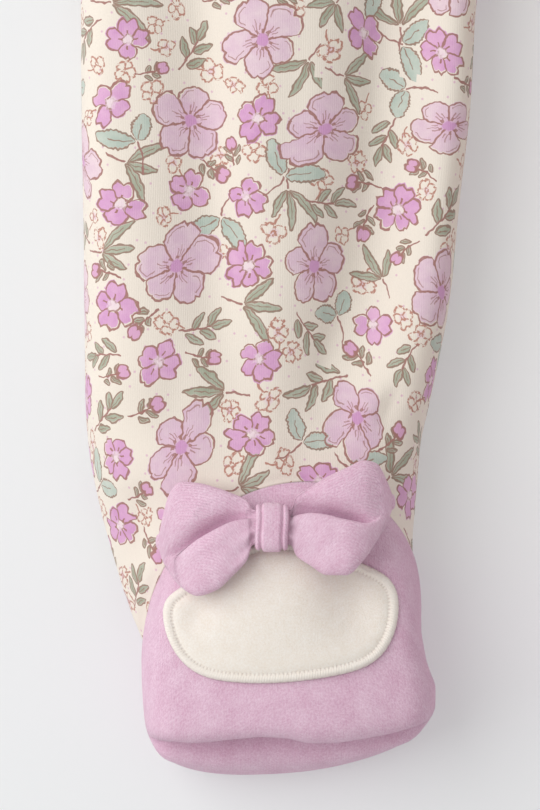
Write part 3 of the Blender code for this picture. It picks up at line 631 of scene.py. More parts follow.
# %% Rows of the foot as lines of points
DOME_SHARE = 0.2
FIRM_EDGE = 0.38
FIRM_SLIPPER = ((0.0, 0.3), (0.0, 1.0))
FIRM_SOLE = ((0.9, 1.0), (0.0, 1.0))


def foot_rise(cap, from_in, from_out, firm):
    """How far the foot has risen in from its sides. Firm says how tightly it is stuffed along its length."""
    edge = np.minimum(from_in, from_out)
    dome = 1 - ((from_in - from_out) / (from_in + from_out)) ** 2
    stuffed = square_share(edge, cap.round_edge * FIRM_EDGE) * (1 - DOME_SHARE) + dome * DOME_SHARE
    share = np.interp(cap.side_share, *firm)
    return round_share(edge, cap.round_edge) * (1 - share) + stuffed * share


def foot_lines(caps, firm):
    """Lines of points over the slipper or the sole, each from one side of the foot to the other."""
    shares = [side.share for side in FOOT_SIDES]
    columns = list(zip(*FOOT_SIDES))[1:]
    lines = []
    for cap in rows_at(Cap, caps, np.arange(0, len(caps) - 1 + 1e-6, 1 / LINES_PER_ROW)):
        ends = [smooth_through(shares, column, [cap.side_share])[0] for column in columns]
        heights = (FOOT_SEAM_Z, cap.z_mid, FOOT_SEAM_Z, 0)
        row = Row(cap.name, *ends, cap.arch, cap.bend, cap.lean, *heights, cap.round_edge, cap.round_edge)
        x, y, from_in, from_out = row_plan(row)
        z = FOOT_SEAM_Z + (cap.z_mid - FOOT_SEAM_Z) * foot_rise(cap, from_in, from_out, firm)
        lines.append(np.stack([x, y, z], axis=-1))
    return np.array(lines)


FOOT = np.concatenate([foot_lines(SLIPPER_ROWS, FIRM_SLIPPER), foot_lines(SOLE_ROWS, FIRM_SOLE)[1:]])
print("points over one foot:", FOOT.shape[0] * FOOT.shape[1])

# %% [markdown]
# ## From lines to cloth
#
# The lines are far denser than the cloth needs, so each panel reads them again at even steps, closer
# together at its seams, where the cloth turns sharply. A seam pulls both edges down into a groove and
# puckers them a little. The grid primitive gives the mesh, and Solidify gives it its thickness, with the
# plain wrong side of the cloth on the inside.

# %% Reading lines again at even steps
EDGE_ZONE = 9.0
SEAM_STEP = 0.5
FINE_POINTS = 4000


def arc_lengths(lines):
    steps = np.linalg.norm(np.diff(lines, axis=1), axis=2)
    return np.concatenate([np.zeros((len(lines), 1)), np.cumsum(steps, axis=1)], axis=1)


def lengths_down(grid):
    """How far down the cloth each point of a grid lies from its first row."""
    return np.swapaxes(arc_lengths(np.swapaxes(grid, 0, 1)), 0, 1)


def spaced(length, step):
    """Shares of a line this long: a step apart in the middle, and closer together towards both ends."""
    fine = np.linspace(0, length, FINE_POINTS)
    from_end = np.minimum(fine, length - fine)
    spacing = SEAM_STEP + (step - SEAM_STEP) * np.clip(from_end / EDGE_ZONE, 0, 1)
    count = np.concatenate([[0], np.cumsum(np.diff(fine) / (spacing[1:] + spacing[:-1]) * 2)])
    wanted = np.linspace(0, count[-1], math.ceil(count[-1]) + 1)
    return np.interp(wanted, count, fine) / length


def reread(lines, shares, start=0.0, end=0.0):
    """Each line of points read again at these shares of its length, short of its two ends by these."""
    arcs = arc_lengths(lines)
    start = np.broadcast_to(start, len(lines))
    end = np.broadcast_to(end, len(lines))
    again = np.empty((len(lines), len(shares), lines.shape[2]))
    for k, (line, arc) in enumerate(zip(lines, arcs)):
        at = start[k] + (arc[-1] - end[k] - start[k]) * shares
        for part in range(lines.shape[2]):
            again[k, :, part] = np.interp(at, arc, line[:, part])
    return again


def columns_of(lines, step):
    """The same cloth as lines that run down it, an even step apart."""
    shares = spaced(np.median(arc_lengths(lines)[:, -1]), step)
    return np.swapaxes(reread(lines, shares), 0, 1)


def grid_of(columns, step, start=0.0, end=0.0):
    """A panel's grid, row by row, from its columns, short of their two ends by these lengths."""
    lengths = arc_lengths(columns)[:, -1] - start - end
    return np.swapaxes(reread(columns, spaced(np.median(lengths), step), start, end), 0, 1)


print("steps across 120 mm:", len(spaced(120.0, 2.2)))

# %% Seams, soft waves and the panel's mesh
ROLL_DEPTH = 0.75
ROLL_WIDTH = 1.7
PUCKER = 0.16
PUCKER_WIDTH = 4.5
PUCKER_WAVES = (5.1, 6.7, 9.3, 4.3)
CLOTH_WAVES = (26, 34, 47, 61, 19)
WAVE_FADE = 9.0
SHARED_REACH = 2.0
SOFTENING_ROUNDS = 6
SOUND_TIMES = 6
WRONG_SIDE = 1
PIECES = {}


def outward(grid):
    """The way out of the cloth at each point. Where rows meet in a corner it is taken from those beside."""
    ways = np.cross(np.gradient(grid, axis=0), np.gradient(grid, axis=1))
    size = np.linalg.norm(ways, axis=2, keepdims=True)
    soft = ways
    for _ in range(SOFTENING_ROUNDS):
        soft = np.pad(soft, ((1, 1), (1, 1), (0, 0)), "edge")
        soft = (soft[:-2] + 2 * soft[1:-1] + soft[2:]) / 4
        soft = (soft[:, :-2] + 2 * soft[:, 1:-1] + soft[:, 2:]) / 4
    sound = np.clip(size / np.median(size) * SOUND_TIMES, 0, 1)
    return unit(unit(ways) * sound + unit(soft) * (1 - sound))


def from_seams(grid):
    """The distance over the cloth from each point to the nearest edge of its panel."""
    across, down = arc_lengths(grid), lengths_down(grid)
    return np.minimum.reduce((across, across[:, -1:] - across, down, down[-1:] - down))


def waves(grid, seed, lengths):
    """Uneven waves from -1 to 1: a few long ones that cross at seeded angles."""
    chance = np.random.default_rng(seed)
    total = np.zeros(grid.shape[:2])
    for length in lengths:
        angle, phase = chance.uniform(0, math.tau, 2)
        along = grid[..., 0] * math.cos(angle) + grid[..., 1] * math.sin(angle)
        total += np.sin(along * math.tau / length + phase)
    return total / len(lengths)


def limb_ways(grid, row):
    """The way out of the limb at the points of one row, so that two panels sewn there go the same way."""
    line = grid[row]
    middle = (line[0] + line[-1]) / 2
    half_wide, half_high = np.ptp(line[:, 0]) / 2, np.ptp(line[:, 2])
    way = (line - middle) / (half_wide**2, 1.0, half_high**2)
    return unit(way * (1, 0, 1))


def sewn_form(grid, seed, wave_depth, shared=(), fade=1.0, extra=0.0):
    """The grid with its seams rolled in and puckered, and with soft waves that only go inwards.

    A row that another panel is sewn to is in shared, with the way out and the depth that both must have.
    """
    seam = from_seams(grid)
    hollow = ROLL_DEPTH * bell(seam, ROLL_WIDTH) + extra
    hollow += PUCKER * bell(seam, PUCKER_WIDTH) * (1 + waves(grid, seed + 1, PUCKER_WAVES))
    hollow += wave_depth * (1 + waves(grid, seed, CLOTH_WAVES)) * np.clip(seam / WAVE_FADE, 0, 1)
    way = outward(grid)
    down = lengths_down(grid)
    for row, ways, depth in shared:
        share = bell(down - down[row], SHARED_REACH)
        way = unit(way * (1 - share[..., None]) + ways * share[..., None])
        hollow += share * (depth - hollow)
    return grid - (hollow * fade)[..., None] * way


def cloth(node, kind, grid, measure, side, finishes, thickness=0.0, ring=False, printed=False, notes=None):
    """The cloth of one cut piece, from its grid of outer points and the flat measure at each of them."""
    rows, columns = grid.shape[:2]
    if side < 0:
        grid = grid * (-1, 1, 1)
    else:
        grid, measure = grid[:, ::-1], measure[:, ::-1]
    bpy.ops.object.select_all(action="DESELECT")
    bpy.ops.mesh.primitive_grid_add(x_subdivisions=columns - 1, y_subdivisions=rows - 1, size=1.0)
    item = bpy.context.object
    item.name = item.data.name = f"{node}_{kind}"
    item.data.vertices.foreach_set("co", (grid * MM).ravel())
    corners = np.empty(len(item.data.loops), int)
    item.data.loops.foreach_get("vertex_index", corners)
    flat = (measure.reshape(-1, 2) * MM)[corners]
    item.data.uv_layers["UVMap"].data.foreach_set("uv", flat.ravel())
    for note, values in (notes or {}).items():
        values = values if side < 0 else values[:, ::-1]
        told = values.reshape(-1, 3)[corners]
        item.data.attributes.new(note, "FLOAT_VECTOR", "CORNER").data.foreach_set("vector", told.ravel())
    if ring:
        on_whole_mesh(bpy.ops.mesh.remove_doubles, threshold=MERGE_WITHIN)
    if printed:
        lay_print(item.data)
    for finish in finishes:
        item.data.materials.append(finish)
    item.data.shade_smooth()
    if thickness:
        give_thickness(item, thickness)
    PIECES[node] = item


def painted_shade_note(painted_shade):
    """A note of how much shade is painted into the colour at each point, from 0 to 1, for the shader to
    darken.
    """
    return {"painted_shade": np.stack([painted_shade, painted_shade, painted_shade], axis=-1)}


def on_whole_mesh(operator, **options):
    """Runs an operator on all of the active object's mesh."""
    bpy.ops.object.mode_set(mode="EDIT")
    bpy.ops.mesh.select_all(action="SELECT")
    operator(**options)
    bpy.ops.object.mode_set(mode="OBJECT")


def give_thickness(item, thickness):
    """A wall inwards from the outer side. Its inner faces take the second finish."""
    wall = item.modifiers.new("wall", "SOLIDIFY")
    wall.thickness = thickness * MM
    wall.offset = -1.0
    wall.use_quality_normals = True
    wall.material_offset = WRONG_SIDE
    wall.material_offset_rim = WRONG_SIDE
    bpy.context.view_layer.objects.active = item
    bpy.ops.object.modifier_apply(modifier=wall.name)


def flat_measure(grid, handed, shift=(0.0, 0.0)):
    """Width over the cloth from the row's middle and length down the body, as the cutter would read them."""
    steps = np.linalg.norm(np.diff(grid[..., (0, 2)], axis=1), axis=2)
    across = np.concatenate([np.zeros((len(grid), 1)), np.cumsum(steps, axis=1)], axis=1)
    middle = grid.shape[1] // 2
    across = across - across[:, middle:middle + 1] + grid[:, middle:middle + 1, 0]
    return np.stack([handed * across + shift[0], grid[..., 1] + shift[1]], axis=-1)


def triangles(node):
    return 2 * len(PIECES[node].data.polygons)


print("seams roll in by", ROLL_DEPTH, "mm")

# %% [markdown]
# ## The print: where each flower and leaf lies
#
# The cloth is printed with a loose garden of small flowers. On a real roll the artwork repeats, and so it
# does here: one repeat is filled by trying many places for each flower or leaf and keeping the one that
# leaves the most room, from the largest kind down to the smallest. Each face of the cloth then learns which
# flower of each kind lies nearest, and stores its own place as that flower sees it, so that the shader can
# draw every kind once.

# %% Scatter the motifs over one repeat
REPEAT = (150.0, 170.0)
TRIES = 260
Kind = namedtuple("Kind", "layer count smallest largest discs")
KINDS = [
    Kind("big_flowers", 16, 0.86, 1.04, [(0, 0, 9.4)]),
    Kind("small_flowers", 34, 0.88, 1.06, [(0, 0, 6.0)]),
    Kind(
        "sprigs", 18, 0.85, 1.12,
        [(8.5, 0, 2.2), (3.5, 2.6, 2.8), (3.5, -2.6, 2.8), (-2, 0, 2.8), (-6, 0, 1)],
    ),
    Kind("leaf_fans", 16, 0.88, 1.12, [(7.5, 0, 3.4), (2.5, 0, 2.2), (-2.5, 0, 1.6), (-6.0, 0, 0.8)]),
    Kind("round_leaves", 20, 0.85, 1.08, [(3.4, 4.0, 2.8), (3.4, -4.0, 2.8), (-3.0, 0.5, 1.2)]),
    Kind("buds", 26, 0.85, 1.1, [(3.8, 0, 1.9), (-0.5, 0, 1.7), (-4.0, 0, 1.0)]),
    Kind("blossoms", 80, 0.85, 1.15, [(0, 0, 2.5)]),
]


def scatter(seed):
    """For each kind, its discs with their owners, and the place, turn, size and number of each motif."""
    chance = np.random.default_rng(seed)
    discs = np.zeros((0, 3))
    owner = np.zeros(0, int)
    layout = {}
    number = 0
    for order, kind in enumerate(KINDS):
        first_disc = len(discs)
        motifs = []
        for _ in range(kind.count):
            tries = chance.uniform((0, 0, 0), (*REPEAT, math.tau), (TRIES, 3))
            size = chance.uniform(kind.smallest, kind.largest)
            spots = np.array([placed_discs(kind, *one, size) for one in tries])
            best = int(np.argmax([room_for(some, discs, owner, order) for some in spots]))
            number += 1
            motifs.append((*tries[best], size, number))
            discs = np.concatenate([discs, spots[best]])
            owner = np.concatenate([owner, np.full(len(kind.discs), order)])
        own = discs[first_disc:]
        layout[kind.layer] = (own, np.repeat(np.arange(kind.count), len(kind.discs)), np.array(motifs))
    return layout


def placed_discs(kind, x, y, turn, size):
    c, s = math.cos(turn), math.sin(turn)
    return [(x + size * (c * u - s * v), y + size * (s * u + c * v), size * r) for u, v, r in kind.discs]


def wrapped(offset):
    """An offset to the nearest copy, as the print repeats in both directions."""
    return (offset + np.divide(REPEAT, 2)) % REPEAT - np.divide(REPEAT, 2)


def room_for(some, discs, owner, order):
    """The room that a motif leaves round itself, where one of its own kind counts from twice as far."""
    if len(discs) == 0:
        return 0.0
    away = wrapped(some[:, None, :2] - discs[None, :, :2])
    room = np.linalg.norm(away, axis=2) - some[:, None, 2] - discs[None, :, 2]
    same = owner == order
    nearest_same = room[:, same].min() if same.any() else math.inf
    return min(room.min(), 0.5 * nearest_same)


LAYOUT = scatter(seed=11)
print("motifs in one repeat:", sum(kind.count for kind in KINDS))


# %% Tell each face which motifs lie nearest
def lay_print(mesh):
    """Stores, for each kind of motif, each corner's place as its nearest motif sees it, in millimetres."""
    flat = np.empty(len(mesh.loops) * 2)
    mesh.uv_layers["UVMap"].data.foreach_get("uv", flat)
    corners = flat.reshape(-1, 4, 2) / MM
    middles = corners.mean(axis=1)
    for layer, (discs, owner, motifs) in LAYOUT.items():
        away = wrapped(middles[:, None] - discs[None, :, :2])
        nearest = owner[np.argmin(np.linalg.norm(away, axis=2) - discs[:, 2], axis=1)]
        x, y, turn, size, number = motifs[nearest].T
        centre = wrapped(middles - np.stack([x, y], axis=1))
        offset = centre[:, None] + corners - middles[:, None]
        c, s = (np.cos(turn) / size)[:, None], (np.sin(turn) / size)[:, None]
        seen = np.stack([
            c * offset[..., 0] + s * offset[..., 1],
            c * offset[..., 1] - s * offset[..., 0],
            np.broadcast_to(number[:, None], offset.shape[:2]),
        ], axis=-1)
        mesh.attributes.new(layer, "FLOAT_VECTOR", "CORNER").data.foreach_set("vector", seen.ravel())


print("layers of the print:", ", ".join(LAYOUT))

# %% [markdown]
# ## The print: how each kind is drawn
#
# A petal is an oval, so a flower is five ovals round a centre. The angle round the centre is rounded to the
# nearest petal, and one oval then serves for all of them. The outline lies where the distance to the oval's
# edge is near nothing, and the colour where it is below nothing. As on printed cloth, the colours lie a
# little beside their outlines. Leaves are drawn in the same way, as a fan round the end of their stem.

# %% Flowers and leaves as distances
MISPRINT = (0.45, -0.35)
Fan = namedtuple("Fan", "low high spread shift")
Sprig = namedtuple("Sprig", "low high pitch slant")
Leaf = namedtuple("Leaf", "length breadth fullness bend")


def petals(paint, x, y, seed, count, reach, breadth, notch):
    """The distance to a flower's petals, for its outline and for its colour, and the place in a petal."""
    drawn_out = paint.chance(seed * 11.0) * 0.34 + 0.84
    x, y = x * drawn_out, y / drawn_out
    radius = paint.radius(x, y)
    angle = paint.maths("ARCTAN2", y, x)
    petal = paint.maths("ROUND", angle * (count / math.tau))
    number = seed * 17.0 + paint.maths("FLOORED_MODULO", petal, count)
    own, other = paint.chance(number), paint.chance(number + 0.37)
    length = reach * (0.74 + own * 0.32)
    turn = angle - petal * (math.tau / count) + (other - 0.5) * 0.42
    along = radius * paint.maths("COSINE", turn)
    across = radius * paint.maths("SINE", turn)
    u = along / length * 2.1 - 1.1
    v = across / (length * breadth * (0.82 + other * 0.4))
    dent = paint.larger(notch * (own * 1.6 + 0.2) - abs(across) * 0.85, 0.0)
    oval = (paint.radius(u, v) - 1.0) * (reach * 0.42) + dent
    between = radius * paint.maths("SINE", math.pi / count - abs(angle - petal * (math.tau / count)))
    edge = paint.larger(oval, 0.0 - between)
    beside = (x * MISPRINT[0] + y * MISPRINT[1]) / (radius + 0.4)
    return edge, oval + beside, radius, along, across


def leaf(paint, along, across, own, shape):
    """The distance to a leaf, for outline and colour, from the place along and across its vein."""
    share = along / (shape.length * (0.72 + own * 0.4)) - 0.06
    across = across - shape.bend * share * (1.0 - share) * 4.0 * (own - 0.4)
    swell = paint.larger(share * (1.0 - share) * (4.6 - share * 1.2), 0.0)
    half = shape.breadth * paint.maths("POWER", swell, shape.fullness)
    off = (paint.larger(share - 1.0, 0.0) + paint.larger(0.0 - share, 0.0)) * shape.length
    edge = abs(across) - half + off * 2.0
    return edge, abs(across + 0.3) - half + off * 2.0, share, across


def fan_of_leaves(paint, x, y, seed, fan, shape):
    """Leaves that spread from one point, numbered from low to high and turned by the spread."""
    radius = paint.radius(x, y)
    angle = paint.maths("ARCTAN2", y, x) - fan.shift
    number = paint.kept_between(paint.maths("ROUND", angle / fan.spread), fan.low, fan.high)
    own = paint.chance(seed * 13.0 + number)
    turn = angle - number * fan.spread + (own - 0.5) * 0.2
    return leaf(paint, radius * paint.maths("COSINE", turn), radius * paint.maths("SINE", turn), own, shape)


def sprig_of_leaves(paint, x, y, seed, sprig, shape):
    """Leaves that leave a stem by turns on its two sides, a pitch apart, at one slant."""
    pitch, slant = sprig.pitch, sprig.slant
    side = paint.maths("SIGN", y)
    start = x - side * (pitch / 4)
    number = paint.maths("ROUND", (start - abs(y) / math.tan(slant)) / pitch)
    number = paint.kept_between(number, sprig.low, sprig.high)
    own = paint.chance(seed * 13.0 + number * 2.0 + side * 0.3)
    ahead = start - number * pitch
    along = ahead * math.cos(slant) + abs(y) * math.sin(slant)
    across = abs(y) * math.cos(slant) - ahead * math.sin(slant)
    return leaf(paint, along, across, own, shape)


def stem(paint, x, y, length, curve):
    """The distance to a stem that runs back from the middle and bends aside."""
    past = paint.larger(x, 0.0) + paint.larger(0.0 - x - length, 0.0)
    return abs(y - x * x * curve) + past * 2.0


print("colours lie beside their outlines by", round(math.hypot(*MISPRINT), 2), "mm")

# %% Colours and line widths of the print
GROUND = srgb(242, 232, 219)
OUTLINE = srgb(160, 104, 98)
LEAF_LINE = srgb(148, 116, 100)
PEACH = srgb(188, 130, 114)
BIG_PETAL = (srgb(238, 214, 222), srgb(224, 190, 211))
BIG_HEART = srgb(212, 152, 202)
SMALL_PETAL = (srgb(231, 180, 216), srgb(212, 150, 202))
SMALL_HEART = srgb(242, 218, 230)
SAGE = (srgb(188, 194, 176), srgb(160, 168, 146))
AQUA = (srgb(206, 214, 203), srgb(178, 195, 184))
BUD = srgb(222, 166, 204)
SPECK = srgb(222, 174, 200)
HAIR_LINE = 0.13
THIN_LINE = 0.25
PEN_LINE = 0.27


class Print:
    """The print in the making: its colour so far, and the parts that all of its kinds share."""

    def __init__(self, paint):
        self.paint = paint
        self.place = paint.place_in_mm()
        self.colour = GROUND
        self.wash = paint.noise(self.place, 0.22, detail=3.0, roughness=0.6)
        self.grain = paint.noise(self.place, 1.3, roughness=0.6)
        shake = paint.parts(paint.noise(self.place, 0.45, detail=1.0, out="Color"))
        self.shake = [(part - 0.5) * 1.1 for part in shake]
        self.ink = paint.ramp(self.grain, 0.5, 0.72)

    def seen_by(self, layer):
        """The place and number of the nearest motif of one kind, with a hand's unsteadiness."""
        x, y, number = self.paint.note(layer)
        return x + self.shake[0], y + self.shake[1], self.paint.maths("ROUND", number)

    def lay(self, share, colour):
        self.colour = self.paint.mix(share, self.colour, colour)

    def outline(self, distance, width=PEN_LINE):
        """A line in the outlines' colour, as unevenly inked as a real one."""
        self.lay(self.paint.inside(distance, width) * self.ink, OUTLINE)

    def washed(self, colours, seed):
        """A colour between two, uneven as watercolour, and a little different for each motif."""
        lean = self.wash * 1.7 - 0.55 + self.paint.chance(seed * 3.0 + 0.5) * 0.5
        share = self.paint.maths("ADD", lean, self.grain * 0.5 - 0.25, clamp=True)
        return self.paint.mix(share, *colours)


print("ground of the print:", [round(part, 2) for part in GROUND[:3]])


# %% Each kind of motif
def draw_specks(art, paint):
    cell = {"Vector": art.place, "Scale": 0.17, "Randomness": 1.0}
    near = paint.node("ShaderNodeTexVoronoi", {"voronoi_dimensions": "2D"}, cell, "Distance")
    art.lay(paint.inside(near, 0.055, soft=0.04) * 0.75, SPECK)


def draw_blossoms(art, paint, x, y, seed):
    count = 3 + paint.maths("ROUND", paint.chance(seed * 5.0) * 1.7)
    edge, _, radius, _, _ = petals(paint, x, y, seed, count, reach=3.2, breadth=0.48, notch=0.3)
    dab = paint.inside(radius, 1.0, soft=0.9) * (paint.chance(seed * 9.0) > 0.6)
    art.lay(dab * 0.5, SMALL_PETAL[0])
    ink = paint.inside(abs(edge), PEN_LINE) * paint.ramp(art.grain, -7.0, 4.6)
    art.lay(paint.larger(ink, paint.inside(stem(paint, x + 2.2, y, 2.6, 0.12), THIN_LINE)), PEACH)


def veined(paint, edge, share, across, vein, reach):
    """The ink of a leaf: its outline, and a middle vein that stops short of its tip."""
    middle = paint.inside(abs(across), vein) * (share < reach) * (share > 0.05)
    return paint.larger(paint.inside(abs(edge), THIN_LINE), middle)


def draw_sage(art, paint, seed, groups):
    for edge, fill, share, across in groups:
        art.lay(paint.inside(fill), art.washed(SAGE, seed))
        art.lay(veined(paint, edge, share, across, HAIR_LINE, reach=0.7) * art.ink, LEAF_LINE)


def draw_leaf_fans(art, paint, x, y, seed):
    fan = Fan(-1, 1, paint.chance(seed * 7.0) * 0.3 + 0.6, 0.0)
    draw_sage(art, paint, seed, [fan_of_leaves(paint, x, y, seed, fan, Leaf(11.5, 1.2, 0.8, 1.6))])
    art.outline(stem(paint, x, y, 6.0, 0.03))


def draw_sprigs(art, paint, x, y, seed):
    pairs = sprig_of_leaves(paint, x, y, seed, Sprig(-1, 0, 4.6, 0.72), Leaf(6.6, 1.05, 0.75, 0.9))
    tip = fan_of_leaves(paint, x - 2.2, y, seed, Fan(0, 0, 1.0, 0.0), Leaf(7.6, 1.1, 0.8, 1.2))
    draw_sage(art, paint, seed, [pairs, tip])
    art.outline(stem(paint, x - 2.4, y, 9.6, 0.012))


def draw_round_leaves(art, paint, x, y, seed):
    fan, shape = Fan(-1, 0, 1.8, 0.9), Leaf(9.8, 2.5, 0.62, 0.9)
    edge, fill, share, across = fan_of_leaves(paint, x, y, seed, fan, shape)
    serrated = paint.maths("PINGPONG", share * 8.6, 0.5) * 0.5
    art.lay(paint.inside(fill + serrated), art.washed(AQUA, seed))
    art.lay(veined(paint, edge + serrated, share, across, 0.15, reach=0.62) * art.ink, LEAF_LINE)
    art.outline(stem(paint, x, y, 8.0, 0.05))


def draw_buds(art, paint, x, y, seed):
    pairs = sprig_of_leaves(paint, x, y, seed, Sprig(-1, 0, 2.6, 0.85), Leaf(3.6, 0.6, 0.7, 0.4))
    draw_sage(art, paint, seed, [pairs])
    art.lay(paint.inside(stem(paint, x - 2.4, y, 7.6, 0.03), THIN_LINE), OUTLINE)
    u, v = x - 3.9, abs(y) - 0.75
    lobe = paint.maths("SQRT", u * u * 0.4 + v * v) - 1.1 + u * 0.14
    art.lay(paint.inside(lobe + y * 0.15), BUD)
    art.outline(abs(lobe), THIN_LINE)


def draw_small_flowers(art, paint, x, y, seed):
    count = 4 + (paint.chance(seed * 5.0) > 0.4)
    shape = {"reach": 7.0, "breadth": 0.44, "notch": 0.9}
    edge, fill, radius, along, across = petals(paint, x, y, seed, count, **shape)
    art.lay(paint.inside(fill), art.washed(SMALL_PETAL, seed))
    art.outline(abs(edge))
    art.lay(paint.inside(radius + art.grain * 2.4, 2.6, soft=0.9) * 0.8, SMALL_HEART)
    dash = paint.inside(abs(across), 0.24) * (radius > 1.7) * (radius < 3.0)
    art.lay(dash * (paint.chance(seed * 21.0 + paint.maths("SIGN", along - across)) > 0.2), OUTLINE)


def draw_big_flowers(art, paint, x, y, seed):
    shape = {"reach": 11.6, "breadth": 0.42, "notch": 0.6}
    edge, fill, radius, along, across = petals(paint, x, y, seed, 5, **shape)
    art.lay(paint.inside(fill), art.washed(BIG_PETAL, seed))
    art.lay(paint.inside(radius + art.grain * 3.0, 5.4, soft=3.2) * 0.4, SMALL_PETAL[0])
    lines = paint.inside(abs(abs(across) - radius * 0.2), HAIR_LINE) * (radius < 4.6)
    lines = paint.larger(lines, paint.inside(abs(across), HAIR_LINE) * (radius < 5.6)) * (radius > 2.7)
    rolled = paint.inside(abs(edge + 1.1), 0.14) * (along > 5.4) * (across > 0.6)
    art.lay(paint.larger(lines, rolled) * 0.75, OUTLINE)
    art.outline(abs(edge), 0.29)
    art.lay(paint.inside(radius, 1.7, soft=0.4), BIG_HEART)
    stamens = paint.inside(abs(radius - 2.4), 0.5) * (paint.maths("SINE", across * 3.6) > 0.2)
    art.lay(stamens * 0.85, OUTLINE)


DRAWN_IN_TURN = {
    "blossoms": draw_blossoms, "leaf_fans": draw_leaf_fans, "sprigs": draw_sprigs,
    "round_leaves": draw_round_leaves, "buds": draw_buds, "small_flowers": draw_small_flowers,
    "big_flowers": draw_big_flowers,
}
print("kinds of motif drawn:", len(DRAWN_IN_TURN))

# %% [markdown]
# ## Printed jersey
#
# Cotton jersey is a fine knit: close up it shows upright ribs, called wales, about 0.6 mm apart, under a
# slight fuzz that catches the light at the edges. The wales and the fuzz are a bump, and the sheen is set
# on the shader itself. The wrong side of the cloth is unprinted.

# %% Jersey, printed and plain
WALE = 0.62
JERSEY_RELIEF = 0.00012
WRONG_COLOURS = (srgb(238, 228, 214), srgb(246, 238, 226))
FUZZ_SHADE = srgb(205, 186, 172)


def jersey_normal(paint, place):
    """The bump of a brushed knit: wales that run down the cloth, broken by fuzz."""
    x, _, _ = paint.parts(place)
    fuzz = paint.noise(place, 2.6, detail=4.0, roughness=0.7)
    row = paint.maths("SINE", x * (math.tau / WALE) + fuzz * 3.0) * 0.25 + 0.5
    return paint.bumped(row * 0.55 + fuzz * 0.7, JERSEY_RELIEF)


def printed_jersey():
    paint = Paint("floral_print_jersey")
    art = Print(paint)
    draw_specks(art, paint)
    for layer, draw in DRAWN_IN_TURN.items():
        draw(art, paint, *art.seen_by(layer))
    worn = paint.mix(art.grain * 0.16, art.colour, GROUND)
    fuzz = paint.noise(art.place, 2.2, detail=4.0, roughness=0.8)
    worn = paint.mix(paint.ramp(fuzz, -1.1, 0.72) * 0.22, worn, FUZZ_SHADE)
    paint.finish(base_color=worn, roughness=0.92, specular_ior_level=0.15, sheen_weight=0.25)
    return paint.finish(sheen_roughness=0.5, normal=jersey_normal(paint, art.place))


def plain_jersey():
    paint = Paint("jersey_wrong_side")
    place = paint.place_in_mm()
    colour = paint.mix(paint.noise(place, 0.8), *WRONG_COLOURS)
    paint.finish(base_color=colour, roughness=0.92, specular_ior_level=0.15)
    return paint.finish(normal=jersey_normal(paint, place))


PRINTED = printed_jersey()
WRONG = plain_jersey()
print("nodes in the print:", len(PRINTED.node_tree.nodes))

# %% [markdown]
# ## Brushed pink fleece, felt and rib
#
# The slipper and bow are a brushed knit: the wales still show faintly, but a short nap lies over them, in
# soft clouds where it was stroked one way or the other. The half-moon on the slipper is a smooth pale felt.
# The cuffs and neckband are ribbed, and their ribs are modelled, so their finish only adds the stitches.

# %% Brushed fleece
FLEECE = (srgb(226, 174, 202), srgb(255, 223, 241))
BOW_FLEECE = (srgb(228, 176, 203), srgb(255, 224, 241))
FLEECE_BACK = (srgb(222, 186, 208), srgb(238, 210, 226))
# Painted shade: the colour and strength of the shade painted into the fleece in the bow's creases and at the
# toe seam.
PAINTED_CREASE_SHADE = srgb(168, 118, 150)
PAINTED_SHADE_STRENGTH = 0.38
NAP_TIP = srgb(255, 238, 246)
FLEECE_SHEEN = srgb(255, 238, 248)
FLEECE_RELIEF = 0.00028


def brushed_fleece(name, colours, wale):
    paint = Paint(name)
    place = paint.place_in_mm()
    x, _, _ = paint.parts(place)
    cloud = paint.noise(place, 0.16, detail=3.0, roughness=0.6)
    nap = paint.noise(place, 1.5, detail=5.0, roughness=0.85)
    fibre = paint.noise(place, 4.2, roughness=0.6)
    lean = paint.ramp(nap, 2.6, cloud * 0.8 + fibre * 0.7 - 1.55)
    row = paint.maths("SINE", x * (math.tau / wale) + nap * 5.0) * 0.5 + 0.5
    colour = paint.mix(row * 0.1, paint.mix(lean, *colours), NAP_TIP)
    # Painted shade: the colour is darkened by the note that the bow's creases and the toe seam carry, where
    # shade falls.
    painted_shade, _, _ = paint.note("painted_shade")
    colour = paint.mix(painted_shade * PAINTED_SHADE_STRENGTH, colour, PAINTED_CREASE_SHADE)
    paint.finish(base_color=colour, roughness=0.95, specular_ior_level=0.12)
    paint.finish(sheen_weight=0.35, sheen_roughness=0.45, sheen_tint=FLEECE_SHEEN)
    return paint.finish(normal=paint.bumped(row * 0.2 + nap * 1.0 + fibre * 0.4, FLEECE_RELIEF))


PINK = brushed_fleece("brushed_pink_fleece", FLEECE, wale=0.7)
PINK_INSIDE = brushed_fleece("fleece_wrong_side", FLEECE_BACK, wale=1.4)
PINK_BOW = brushed_fleece("bow_pink_fleece", BOW_FLEECE, wale=0.8)
print("nodes in the fleece:", len(PINK.node_tree.nodes))

# %% Felt, rib, thread and stud finishes
FELT_COLOURS = (srgb(243, 232, 218), srgb(255, 250, 243))
FELT_RELIEF = 0.00024
RIM_THREAD = srgb(255, 247, 238)
RIM_THREAD_PITCH = 0.7
RIM_MIDDLE = 1.15
NEEDLE_HOLE = srgb(172, 142, 136)
NEEDLE_ROW = 2.35
RIB_COLOURS = (srgb(212, 164, 199), srgb(228, 186, 214))
RIB_RELIEF = 0.00025
THREAD_COLOURS = (srgb(232, 220, 204), srgb(246, 238, 226))
STUD_COLOURS = (srgb(222, 180, 208), srgb(230, 196, 220))


def holes_along(paint, along, away, half_pitch, half_length):
    """A row of needle holes, from the place along it and the distance away from it."""
    hole = paint.inside(paint.maths("PINGPONG", along, half_pitch), half_length, soft=0.2)
    return hole * paint.inside(away, 0.3, soft=0.2)


